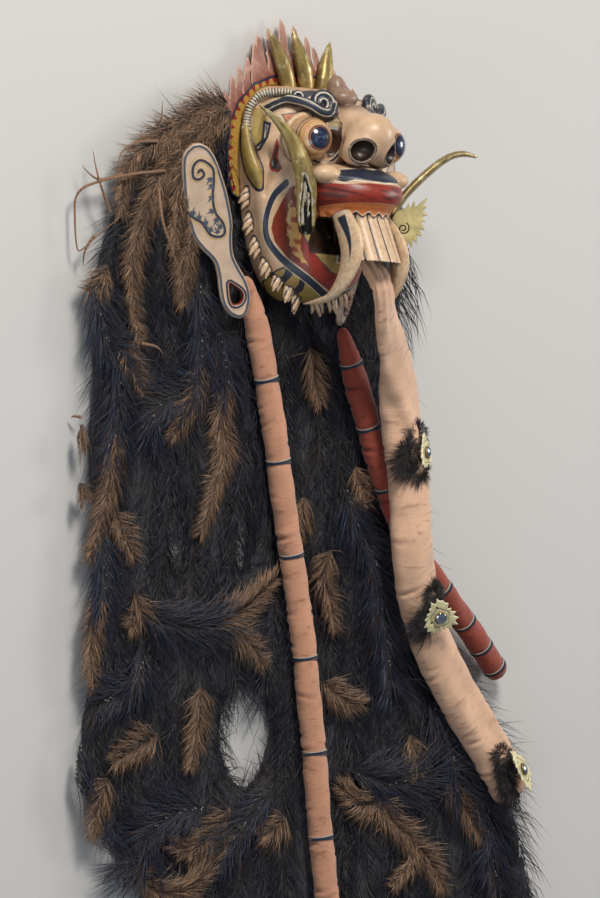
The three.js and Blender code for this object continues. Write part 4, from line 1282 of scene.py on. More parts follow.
@dataclass(frozen=True)
class SnoutHollow:
    """The hollow behind the upper jaw, open below.

    Attributes:
        inset: Thickness of the jaw's wall.
        roof: Height of its upper end.
    """

    inset: float = 8.0
    roof: float = -84.0

    def reach(self) -> tuple[np.ndarray, np.ndarray]:
        """Lowest and highest corner of the hollow."""
        return np.array([-70.0, -186.0, 44.0]), np.array([70.0, self.roof, 182.0])

    def depth(self, x: np.ndarray, y: np.ndarray, z: np.ndarray) -> np.ndarray:
        """Distance outside the hollow, negative inside."""
        rows = smooth_line(SNOUT_ROWS, 300)[::-1]
        half = np.interp(y, rows[:, 0], rows[:, 1]) - self.inset
        front = np.interp(y, rows[:, 0], rows[:, 2]) - self.inset - SNOUT_BACK
        ahead = np.maximum(z - SNOUT_BACK, 0)
        gauge = np.maximum(np.hypot(np.abs(x) / half, (ahead / front) ** 1.25), 1e-3) ** 0.9
        out = np.hypot(x, ahead) * (1 - 1 / gauge)
        floor = -150 - 35 * np.clip((z - 99) / 10, 0, 1)
        return np.maximum(np.maximum(out, 80 - z), np.maximum(y - self.roof, floor - y))


@dataclass(frozen=True)
class Eyes:
    """The two bulging eyeballs: carved balls that look ahead and a little outwards.

    Attributes:
        radius: Radius of the ball across.
        reach: Radius towards the front.
        turn: Degrees that each is turned outwards.
        centre: Middle of the left ball.
    """

    radius: float = 28.2
    reach: float = 32.5
    turn: float = EYE_TURN
    centre: Point = EYE_CENTRE

    def build(self, name: str, sign: int) -> bpy.types.Object:
        """Makes one eyeball.

        Args:
            name: Side of the face.
            sign: -1 for the right side, 1 for the left.

        Returns:
            The eyeball.
        """
        deselect()
        bpy.ops.mesh.primitive_uv_sphere_add(segments=64, ring_count=40, radius=self.radius / 1000)
        ball = bpy.context.object
        ball.name = f"eyeball_{name}"
        points = np.array([v.co[:] for v in ball.data.vertices]) * 1000
        from_axis = np.hypot(points[:, 0], points[:, 1]) + np.where(points[:, 2] < 0, 60, 0)
        points[:, 2] *= self.reach / self.radius
        c, s = math.cos(math.radians(sign * self.turn)), math.sin(math.radians(sign * self.turn))
        x, y, z = points.T
        turned = np.column_stack([c * x + s * z, y, c * z - s * x])
        placed = set_down(turned + np.array(self.centre) * (sign, 1, 1), Place.MASK)
        ball.data.vertices.foreach_set("co", placed.astype(np.float32).ravel())
        store(ball.data, "from_axis", from_axis)
        ball.data.shade_smooth()
        ball.data.materials.append(self.finish(name))
        return finish_piece(ball, "eye_wood", f"eye_{name}")

    @staticmethod
    def finish(name: str) -> bpy.types.Material:
        """Glossy enamel in rings: a blue-black pupil with painted light-blue highlights, a red rim, an ochre iris and
        dark hoops.
        """
        material, tree, shader = material_base(f"Enamelled eyeball, {name}", "#b98a58", 0.22)
        kept = add_node(tree, "ShaderNodeAttribute", {"attribute_name": "from_axis"}, {}).outputs["Fac"]
        rings = (
            (26.9, "#1b1410"), (26.2, "#c3996a"), (25.0, "#1b1410"), (24.4, "#bd8d57"), (20.5, "#c9a27a"),
            (16.6, "#5e2417"), (15.0, "#c9a27a"), (14.6, "#5e1d14"), (13.9, "#100c0c"), (13.2, "#15213c")
        )
        colour: Any = rgba("#c9a27a")
        for radius, paint in rings:
            ends = {"From Min": radius + 0.35, "From Max": radius - 0.35}
            inside = add_node(tree, *RANGE, {"Value": kept, **ends}).outputs[0]
            colour = add_node(tree, *MIX, {0: inside, 6: colour, 7: rgba(paint)}).outputs[2]
        # Light-blue patches in the middle of the pupil are painted highlights.
        middle = add_node(tree, *RANGE, {"Value": kept, "From Min": 12.5, "From Max": 3.0}).outputs[0]
        cloud = add_node(tree, *TIMES, {0: patches(tree, 5, 0.5, 0.8), 1: middle}).outputs[0]
        colour = add_node(tree, *MIX, {0: cloud, 6: colour, 7: rgba("#7d9cc4")}).outputs[2]
        dirt = patches(tree, 11, 0.55, 0.9)
        colour = add_node(tree, *MIX, {0: dirt, 6: colour, 7: rgba("#5a3a20")}).outputs[2]
        tree.links.new(colour, shader.inputs["Base Color"])
        shader.inputs["Coat Weight"].default_value = 0.7
        shader.inputs["Coat Roughness"].default_value = 0.08
        grain_relief(tree, shader, patches(tree, 4, 0.2, 0.8), 0.15, 0.3)
        return material


@dataclass(frozen=True)
class GiltWood:
    """Gold paint over wood: painted highlights in patches, dulled to olive, painted shade in the hollows and at the
    root, and rubbed on ridges.

    Attributes:
        name: Name of the material.
        gold: Colour of the paint.
        shadow: Colour of the painted shade in the hollows and at the root.
        rubbed_and_highlight: Colour where it is rubbed, and of the painted highlights.
        chipped: Colour of the bare wood at a chip.
    """

    name: str
    gold: str = "#9c8650"
    shadow: str = "#3a2916"
    rubbed_and_highlight: str = "#dccf9f"
    chipped: str = "#b8b09c"

    def make(self) -> bpy.types.Material:
        """Builds the material."""
        material, tree, shader = material_base(self.name, self.gold, 0.36, 0.45)
        along = patches(tree, 10, 0.35, 0.7, (1, 3, 1))
        colour = add_node(tree, *MIX, {0: along, 6: rgba(self.gold), 7: rgba(self.gold, 0.5)}).outputs[2]
        # Light patches over the gold are painted highlights.
        gleam = patches(tree, 14, 0.52, 0.8)
        colour = add_node(tree, *MIX, {0: gleam, 6: colour, 7: rgba(self.rubbed_and_highlight)}).outputs[2]
        # The hollows are darkened as painted shade.
        hollow = add_node(tree, "ShaderNodeAttribute", {"attribute_name": "hollow"}, {}).outputs["Fac"]
        groove = add_node(tree, *RANGE, {"Value": hollow, "From Min": 0.05, "From Max": 0.6}).outputs[0]
        colour = add_node(tree, *MIX, {0: groove, 6: colour, 7: rgba(self.shadow)}).outputs[2]
        ridge = add_node(tree, *RANGE, {"Value": hollow, "From Min": -0.45, "From Max": -0.95}).outputs[0]
        worn = add_node(tree, *TIMES, {0: ridge, 1: patches(tree, 6, 0.4, 0.65)}).outputs[0]
        colour = add_node(tree, *MIX, {0: worn, 6: colour, 7: rgba(self.rubbed_and_highlight)}).outputs[2]
        # Painted shade at the root, bare wood at the chips, and near black painted shade on the walls of a split.
        for key, paint in (("shade", self.shadow), ("chips", self.chipped), ("split_shade", "#0a0807")):
            kept = add_node(tree, "ShaderNodeAttribute", {"attribute_name": key}, {}).outputs["Fac"]
            inside = add_node(tree, *RANGE, {"Value": kept, "From Min": -0.5, "From Max": 0.5}).outputs[0]
            colour = add_node(tree, *MIX, {0: inside, 6: colour, 7: rgba(paint)}).outputs[2]
        tree.links.new(colour, shader.inputs["Base Color"])
        grain_relief(tree, shader, patches(tree, 3, 0.2, 0.8), 0.25, 0.5)
        return material


@dataclass(frozen=True)
class Tusk:
    """A long bent tusk, carved flat and gilded.

    Attributes:
        side: Side of the face.
        line: Points of its middle line, from the root.
        broad: Direction of its broad side.
        split: Whether its lower part is split open.
        widths: Half widths along it.
    """

    side: str
    line: tuple[Point, ...]
    broad: Point
    split: bool
    widths: tuple[float, ...] = (10.5, 12.6, 13.8, 13.6, 12.8, 11.4, 9.0, 5.6, 1.4)

    def build(self) -> bpy.types.Object:
        """Carves and gilds the tusk."""
        blade = Rod(self.line, self.widths, self.broad, 0.4, steps=26)
        low, high = blade.reach()
        clay = Clay(tuple(low - 5), tuple(high + 5), 1.5)
        clay.add(blade)
        spine = smooth_line(self.line, 40)
        cavity = [tuple(p) for p in spine[[0, 5, 10, 15]] + np.array((-3.6, 0, 3.6))]
        hole = Rod(tuple(cavity), (6.8, 7.4, 5.2, 0.5), self.broad, 0.8, steps=12)
        splinters = [
            Rod(
                tuple(tuple(p) for p in spine[a:b:3] + np.array((-1.5 + lean, 0, 1.5 + lean))),
                (1.3, 1.1, 0.5), None, steps=5
            )
            for a, b, lean in ((4, 13, 1.8), (8, 15, -1.2), (2, 9, -2.6))
        ]
        if self.split:
            clay.cut(hole, 1.0)
            for splinter in splinters:
                clay.add(splinter, 0.5)
            for first, last, side in ((8, 19, 4.5), (11, 17, -5.5), (3, 7, 9)):
                crack = spine[first:last:3] + np.array(self.broad) / math.sqrt(2) * side
                clay.cut(Rod(tuple(tuple(p) for p in crack), (0.5, 1.3, 0.6), None, steps=6), 0.5)
        points, faces = clay.mesh()
        x, y, z = points.T
        along = blade.measure(x, y, z)[1]
        # The root is darkened as painted shade where the tusk meets the face.
        numbers = {"hollow": clay.hollowness(points), "shade": (0.04 - along) * 60}
        numbers["split_shade"] = numbers["chips"] = np.full(len(x), ABSENT)
        if self.split:
            cut = hole.depth(x, y, z)
            ragged = 1.1 * np.sin(y * 0.43 + x * 0.21) + 0.8 * np.sin(y * 0.23 - z * 0.37)
            chips = np.where(along > 0.06, 0.9 + ragged - np.abs(cut - 1.0), ABSENT)
            slivers = 0.8 - np.min([splinter.depth(x, y, z) for splinter in splinters], axis=0)
            # The walls of the split are painted near black as shade in the slot, except on the splinters.
            numbers["split_shade"] = np.where(slivers > 0, ABSENT, 0.6 - np.abs(cut))
            numbers["chips"] = np.maximum(chips, np.where(cut < 1, slivers, ABSENT))
        finish = GiltWood(f"Gold paint on carved wood, {self.side} tusk")
        piece = make_piece(f"{self.side}_tusk", points, faces, Place.MASK, finish.make(), True, numbers)
        return finish_piece(piece, "gilt_wood", f"tusk_{self.side}")


@dataclass(frozen=True)
class Horn:
    """One small horn over the brow.

    Attributes:
        name: Its place on the forehead.
        line: Points of its middle line, from the root.
    """

    name: str
    line: tuple[Point, ...]

    def build(self) -> bpy.types.Object:
        """Carves and gilds the horn."""
        rod = Rod(self.line, (9.5, 11.6, 12.3, 11.8, 10.6, 8.6, 5.6, 1.2), (1, 0, 0), 0.7, steps=14)
        low, high = rod.reach()
        clay = Clay(tuple(low - 5), tuple(high + 5), 1.6)
        clay.add(rod)
        points, faces = clay.mesh()
        along = rod.measure(*points.T)[1]
        # The root is darkened as painted shade where the horn meets the crest.
        numbers = {"hollow": clay.hollowness(points), "shade": (0.05 - along) * 40}
        numbers["split_shade"] = numbers["chips"] = np.full(len(points), ABSENT)
        finish = GiltWood(f"Gold paint on carved wood, {self.name} horn")
        piece = make_piece(f"{self.name}_horn", points, faces, Place.MASK, finish.make(), True, numbers)
        return finish_piece(piece, "gilt_wood", f"horn_{self.name}")


@dataclass(frozen=True)
class Board:
    """A flat board with rounded edges, cut to an outline.

    Attributes:
        outline: Its corners.
        holes: Outlines of the holes in it.
        thick: Its thickness.
        lift: Height of its middle at each place.
        relief: Extra thickness at each place.
        rounding: Radius of its edges.
        extra: Outlines of further parts that join it.
    """

    outline: tuple[tuple[float, float], ...]
    holes: tuple[tuple[tuple[float, float], ...], ...] = ()
    thick: float = 3.0
    lift: Callable[[np.ndarray, np.ndarray], np.ndarray] | None = None
    relief: Callable[[np.ndarray, np.ndarray], np.ndarray] | None = None
    rounding: float = 1.0
    extra: tuple[tuple[tuple[float, float], ...], ...] = ()

    def reach(self) -> tuple[np.ndarray, np.ndarray]:
        """Lowest and highest corner of the board."""
        corners = np.vstack([self.outline, *self.extra]) if self.extra else np.array(self.outline)
        low, high = corners.min(axis=0), corners.max(axis=0)
        return np.array([*low, -40.0]), np.array([*high, 40.0])

    def flat(self, x: np.ndarray, y: np.ndarray) -> np.ndarray:
        """Distance inside the board's outline."""
        u, v = x + 0 * y, y + 0 * x
        inside = inside_outline(u, v, self.outline)
        for more in self.extra:
            inside = np.maximum(inside, inside_outline(u, v, more))
        for hole in self.holes:
            inside = np.minimum(inside, -inside_outline(u, v, hole))
        return inside

    def depth(self, x: np.ndarray, y: np.ndarray, z: np.ndarray) -> np.ndarray:
        """Distance outside the board, negative inside."""
        middle = self.lift(x, y) if self.lift else 0
        half = self.thick / 2 + (self.relief(x, y) if self.relief else 0)
        beside = self.rounding - self.flat(x, y)
        above = np.abs(z - middle) - half + self.rounding
        corner = np.hypot(np.maximum(beside, 0), np.maximum(above, 0))
        return corner + np.minimum(np.maximum(beside, above), 0) - self.rounding


def leaf(
    root: Sequence[float], tip: Sequence[float], width: float, sway: float
) -> tuple[tuple[float, float], ...]:
    """Outline of a flame-shaped leaf.

    Args:
        root: Middle of its foot.
        tip: Its tip.
        width: Half width of its foot.
        sway: How far it bends sideways on its way.

    Returns:
        Corners of the outline.
    """
    a, b = np.array(root, dtype=float), np.array(tip, dtype=float)
    across = np.array([-(b - a)[1], (b - a)[0]]) / np.linalg.norm(b - a)
    share = np.linspace(0, 1, 11)
    spine = a + (b - a) * share[:, None] + across * (sway * np.sin(share * math.pi * 1.5))[:, None]
    half = width * (1 - share**3) ** 0.6 * (1 - 0.25 * share) * (1 + 0.1 * np.sin(share * 9))
    one, other = spine + across * half[:, None], spine - across * half[:, None]
    return tuple(map(tuple, np.vstack([one, other[::-1]])))


FLAMES = (
    (-146, 50), (-135, 74), (-122, 88), (-106, 101), (-92, 121), (-86, 130), (-66, 141), (-42, 154),
    (-19, 147), (3, 135), (15, 121), (34, 106), (52, 90), (70, 82), (90, 72), (110, 60), (130, 42)
)


@dataclass(frozen=True)
class PaintedLeather:
    """Rawhide cut and painted: matt, slightly puckered colour that is paler along its cut edges.

    Attributes:
        name: Name of the material.
        ground: Colour of the ground coat.
        layers: Painted areas, each over the ones before it.
        metallic: How much it gleams as metal.
        roughness: Roughness of the paint.
    """

    name: str
    ground: str
    layers: tuple[Layer, ...]
    metallic: float = 0.0
    roughness: float = 0.6

    def make(self) -> bpy.types.Material:
        """Builds the material."""
        material, tree, shader = material_base(self.name, self.ground, self.roughness, self.metallic)
        cloudy = patches(tree, 16, 0.35, 0.7)
        ground = add_node(tree, *MIX, {0: cloudy, 6: rgba(self.ground), 7: rgba(self.ground, 0.55)}).outputs[2]
        colour = painted(tree, ground, self.layers, patches(tree, 5, 0.4, 0.8), 0.6)
        tree.links.new(colour, shader.inputs["Base Color"])
        grain_relief(tree, shader, patches(tree, 2.5, 0.2, 0.8), 0.3, 0.6)
        return material


@dataclass(frozen=True)
class Crest:
    """The leather crest: a painted band round the rim with two rows of flames.

    Attributes:
        thick: Thickness of the leather.
        grain: Fineness of its making.
    """

    thick: float = 2.6
    grain: float = 1.35

    def leaves(self) -> list[tuple[tuple[float, float], ...]]:
        """Outlines of the flames, each with a small side tip."""
        outlines = []
        count = len(FLAMES)
        for k, (x, y) in enumerate(FLAMES):
            arc = math.pi * (1 - (k + 0.5) / count)
            root = np.array([122 * math.cos(arc), -2 + 80 * math.sin(arc)])
            tip = np.array([x, y], dtype=float)
            lean = 1 if x < 20 else -1
            outlines.append(leaf(root, tip, 11.5 if 5 <= k <= 8 else 8.0, 3.6 * lean))
            way = (tip - root) / np.linalg.norm(tip - root)
            across = np.array([-way[1], way[0]]) * lean
            side_tip = root + (tip - root) * 0.6 + across * 9
            outlines.append(leaf(root + across * 6, side_tip, 3.6, -2.6 * lean))
        return outlines

    def form(self) -> Board:
        """The board that the crest is cut from."""
        half = (
            (0, 84), (30, 83), (60, 78), (92, 66), (118, 42), (132, 14), (135, -20), (132, -58), (122, -80),
            (108, -86), (103, -60), (107, -20), (106, 14), (96, 38), (76, 54), (50, 61), (20, 63), (0, 63.5)
        )
        left = half[1:-1][::-1]
        outline = (*half, *((-x, y) for x, y in left))

        def lift(x: np.ndarray, y: np.ndarray) -> np.ndarray:
            """Height of the leather, which sags a little towards the tips."""
            return 1.7 - 0.12 * np.maximum(0, y - 80) + 0 * x

        return Board(outline, (), self.thick, lift, None, 0.8, tuple(self.leaves()))

    def build(self) -> bpy.types.Object:
        """Cuts and paints the crest."""
        board = self.form()
        clay = Clay((-152, -92, -12), (152, 160, 8), self.grain)
        clay.add(board)
        clay.cut(Dome(-0.75, False))
        for horn in HORNS:
            clay.cut(Rod(horn.line, (10.5, 12.6, 13.3, 12.8, 11.6, 9.6, 6.6, 2.2), (1, 0, 0), 0.75, steps=14))
        points, faces = clay.mesh()
        x, y, _ = points.T
        band = inside_outline(x, y, board.outline)
        outer_edge = board.outline[:9][::-1]
        line = smooth_line(outer_edge, 160)
        reach = np.linalg.norm(np.stack([np.abs(x)[:, None] - line[:, 0], y[:, None] - line[:, 1]]), axis=0)
        which = reach.argmin(axis=1)
        run = which * np.linalg.norm(np.diff(line, axis=0), axis=1).mean()
        teeth = 13.5 * (1 - 2 * np.abs((run / 14) % 1 - 0.5))
        lengthwise = np.sin(np.arctan2(y - 10, x) * 34 + 2 * np.sin(y / 9))
        numbers = {
            "band": band,
            "red": np.minimum(band, teeth - reach.min(axis=1) - 1.5),
            "edge": 1.6 - np.abs(band - 0.8),
            "vein": np.where(band < -2, lengthwise * 2 - 1.2, -5),
            # The flames darken towards their foot, where they meet the band: painted shade.
            "flame_foot_shade": (10 - np.maximum(-band, 0)) * 0.25 - np.where(band > 0, 9, 0),
            "rim": 1.0 - board.flat(x, y),
        }
        layers = (
            Layer("flame_foot_shade", "#7d342b", 6),
            Layer("vein", "#a27060", 2.5),
            Layer("rim", "#d2aa96", 0.8),
            Layer("band", "#b38a3e"),
            Layer("red", "#8e1f17"),
            Layer("edge", "#20283f"),
        )
        paint = PaintedLeather("Painted rawhide, dusty red", "#bb8f7f", layers)
        piece = make_piece("crest_flames", points, faces, Place.MASK, paint.make(), True, numbers)
        return finish_piece(piece, "crest_leather", "crest")


HORNS = (
    Horn("right", ((-37, 60, 14), (-45, 84, 13), (-58, 114, 10), (-75, 138, 8))),
    Horn("middle", ((-4, 63, 13), (-9, 88, 12), (-18, 114, 10), (-30, 140, 8))),
    Horn("left", ((23, 60, 14), (28, 84, 13), (33, 108, 10), (39, 130, 8))),
)
TUSKS = (
    Tusk(
        "right",
        (
            (-82, -126, 102), (-85, -100, 102), (-88, -63, 103), (-95, -33, 97), (-105, -5, 88),
            (-123, 18, 77), (-150, 36, 68)
        ),
        (1, 0, 1), True
    ),
    Tusk(
        "left", (
            (78, -98, 93), (99, -66, 99), (125, -36, 111), (152, -15, 119), (178, -7, 121), (205, -9, 121)
        ), (-1, 0, 1), False,
        (10.5, 12.6, 13.8, 13.8, 13.0, 12.2, 11.2, 10.0, 5.0),
    ),
)


def set_along(
    points: np.ndarray, x: Sequence[float], y: Sequence[float], z: Sequence[float], origin: Sequence[float]
) -> np.ndarray:
    """Moves points from a piece's own axes to its place."""
    return points @ np.array([x, y, z], dtype=float) + np.array(origin, dtype=float)


@dataclass(frozen=True)
class CheekFlame:
    """The gilded leather flame at the left corner of the mouth.

    Attributes:
        outline: Its corners.
        centre: Its middle in the mask's frame.
    """

    outline: tuple[tuple[float, float], ...] = (
        (-23, 7), (-17.5, 15), (-12, 18), (-5, 21), (-2.5, 27), (0, 19.5), (5, 31), (6.5, 21.5), (12.7, 28), (23, 36),
        (17, 25), (22, 23), (16.6, 18), (23, 12), (16.4, 10), (20.6, 2.5), (14.4, 3), (20.6, -8.7), (13.5, -6),
        (16.4, -17), (10, -13.5), (10.7, -26.5), (5, -20), (4.2, -32.7), (0, -24), (-3.4, -36), (-5.4, -25.7),
        (-12, -27), (-10.4, -20), (-19, -20), (-21.7, -10),
    )  # fmt: skip
    centre: Point = (92, -104, 116)

    def build(self) -> bpy.types.Object:
        """Cuts, draws and gilds the flame."""
        clay = Clay((-27, -40, -3.5), (27, 40, 3.5), 0.9)
        coil = spiral((-8, -7, 0), 0, 0, 60, 1.5, (8.5, 2), -1)
        clay.add(Board(self.outline, (), 2.4, None, None, 0.8))
        clay.cut(Rod(tuple((x, y, 1.6) for x, y, _ in coil), (0.9, 1.0, 0.7), steps=30), 0.4)
        points, faces = clay.mesh()
        x, y, _ = points.T
        near = near_line(x, y, [(p[0], p[1]) for p in coil])
        numbers = {"line": 0.9 - near, "edge": 0.7 - inside_outline(x, y, self.outline)}
        half = math.sqrt(0.5)
        placed = set_along(points, (half, 0, half), (0, 1, 0), (-half, 0, half), self.centre)
        paint = PaintedLeather(
            "Gilded rawhide", "#d3c48a", (Layer("edge", "#b09c5c"), Layer("line", "#241a10")), 0.15, 0.5
        )
        piece = make_piece("cheek_leather", placed, faces, Place.MASK, paint.make(), True, numbers)
        return finish_piece(piece, "gilt_leather", "cheek_flame")


EAR_ROWS = (
    (0, -3, 3), (5, -14, 10), (14, -22, 17), (34, -28, 22), (74, -35, 24), (114, -36, 21), (135, -29, 15),
    (156, -18, 11), (175, -17, 14), (195, -20, 19), (215, -21, 19), (230, -16, 13), (238, -8, 7), (241, -2, 2)
)
EAR_PLACES = {"right": (-214, -7, 42.5), "left": (166, -22, 24.8)}
EAR_AXIS = (88.0, -233.0, 0.0)
EAR_LEAN = math.radians(30)
LEFT_EAR_TURN = math.radians(-4)
EAR_HOLE = ((-4, -192), (6, -204), (8, -213), (2, -220), (-6, -219), (-7, -208))


@dataclass(frozen=True)
class Ear:
    """A loose carved ear, painted with a bean-shaped hollow and small leaves.

    Attributes:
        side: Side of the face.
        sign: -1 for the right side, 1 for the left.
        thick: Thickness of the wood.
        scroll: Line of the bean-shaped hollow.
        leaves: Small painted leaves: place, and direction in degrees.
    """

    side: str
    sign: int
    thick: float = 7.4
    scroll: tuple[tuple[float, float], ...] = (
        (-34, -84), (-27, -94), (-18.7, -103.4), (-12.7, -120.5), (-2.4, -127.5), (6.4, -125.3), (7.8, -112), (1.7, -95),
        (3.6, -74.6), (11, -53), (12.9, -37), (1.3, -23.2), (-10.5, -27.8), (-14.3, -41.6), (-8, -46.7), (-0.1, -43.3),
        (-1.9, -35.1), (-6.5, -37.6),
    )  # fmt: skip
    leaves: tuple[tuple[float, float, float], ...] = (
        (9, -60, 200), (5, -74, 210), (1, -92, 190), (3, -104, 220), (-9, -118, 120), (-1, -124, 110), (5, -118, 130),
        (-15, -108, 80), (-22, -98, 70), (-29, -90, 60), (9, -50, 215),
    )  # fmt: skip

    def build(self) -> bpy.types.Object:
        """Carves and paints the ear."""
        rows = smooth_line(EAR_ROWS, 60)
        outer = [(low, -along) for along, low, _ in rows]
        inner = [(high, -along) for along, _, high in rows][::-1]
        outline = tuple(outer + inner[1:-1])
        hole = tuple(map(tuple, smooth_line((*EAR_HOLE, EAR_HOLE[0]), 24)[:-1]))
        line = smooth_line(self.scroll, 120)

        def relief(x: np.ndarray, y: np.ndarray) -> np.ndarray:
            """Raised rim, ridge and ear lobe."""
            u, v = x + 0 * y, y + 0 * x
            rim = 1.1 * np.exp(-(((inside_outline(u, v, outline) - 3.5) / 2.6) ** 2))
            ridge = 1.2 * np.exp(-((near_line(u, v, line) / 2.2) ** 2))
            lobe = 0.9 * np.exp(-(((inside_outline(u, v, hole) + 3.5) / 2.5) ** 2))
            return rim + ridge + lobe - 0.6

        clay = Clay((-42, -246, -8), (30, 5, 8), 1.3 if self.sign < 0 else 2.2)
        clay.add(Board(outline, (hole,), self.thick, None, relief, 2.4))
        points, faces = clay.mesh()
        x, y, z = points.T
        inside, near, pit = inside_outline(x, y, outline), near_line(x, y, line), inside_outline(x, y, hole)
        front = z + 1.5
        strokes = np.full(len(x), ABSENT)
        for px, py, turn in self.leaves:
            for spread_by, length in ((-34, 8.5), (0, 13), (34, 8.5)):
                angle = math.radians(turn + spread_by)
                dx, dy = x - px, y - py
                run = dx * math.cos(angle) + dy * math.sin(angle)
                off = np.abs(-dx * math.sin(angle) + dy * math.cos(angle))
                on_it = (run > 0) & (run < length)
                blade = 2.1 * np.where(on_it, 1 - run / length, 0) ** 0.7 - off
                strokes = np.maximum(strokes, np.where(on_it, blade, ABSENT))
        numbers = {
            "hollow": clay.hollowness(points),
            "line": np.minimum(1.6 - np.abs(inside - 3.4), front),
            "second": np.minimum(1.9 - near, front),
            "glow": np.minimum(1.2 - np.abs(near - 3.9), front),
            "leaves": np.minimum(strokes, front),
            "lobe": np.minimum(1.4 - np.abs(pit + 4.4), front),
            "pit": pit + 2.2,
            "back": -(z + 2.2),
        }
        layers = (
            Layer("line", "#4f5760", 0.9),
            Layer("glow", "#c9ab7c", 1.2),
            Layer("second", "#3d3b45", 0.9),
            Layer("leaves", "#4a5361", 1.0),
            Layer("lobe", "#2c3242", 0.9),
            Layer("pit", "#7a2c1f", 1.0),
            Layer("back", "#7a5a3e", 1.0),
        )
        axis = np.array(EAR_AXIS) / math.hypot(*EAR_AXIS)
        inward = np.array([-axis[1], axis[0], 0])
        across = inward * math.cos(EAR_LEAN) + np.array([0, 0, math.sin(EAR_LEAN)])
        facing = np.cross(across, -axis)
        if self.sign > 0:
            c, s = math.cos(LEFT_EAR_TURN), math.sin(LEFT_EAR_TURN)
            spin = np.array([[c, s, 0], [-s, c, 0], [0, 0, 1]])
            mirror = np.array([-1, 1, 1])
            across, axis, facing = across * mirror @ spin, axis * mirror @ spin, facing * mirror @ spin
            faces = faces[:, ::-1]
        placed = set_along(points, across, -axis, facing, EAR_PLACES[self.side])
        paint = PaintedWood(f"Oil-painted softwood, {self.side} ear", "#d3b8a0", layers, 0.4)
        piece = make_piece(f"{self.side}_ear", placed, faces, Place.MANTLE, paint.make(), True, numbers)
        return finish_piece(piece, "ear_wood", f"ear_{self.side}")


# The mantle of hair and palm fibre


class Coat(Enum):
    """What is knotted along a string."""

    BLACK = "black"
    BROWN = "brown"


@dataclass(frozen=True)
class Spine:
    """A string that hair or fibre is knotted along, seen from above.

    Attributes:
        coat: What is knotted along it.
        line: Points from its upper end.
        height: Height above the floor.
        stitched: Whether white knots show along it.
        wild: Whether its hair lies every way.
    """

    coat: Coat
    line: tuple[tuple[float, float], ...]
    height: float = 25.0
    stitched: bool = False
    wild: bool = False


def string_of(coat: Coat, *line: tuple[float, float]) -> Spine:
    """A string of one coat. White knots show along the black ones."""
    return Spine(coat, line, 25.0, coat is Coat.BLACK)


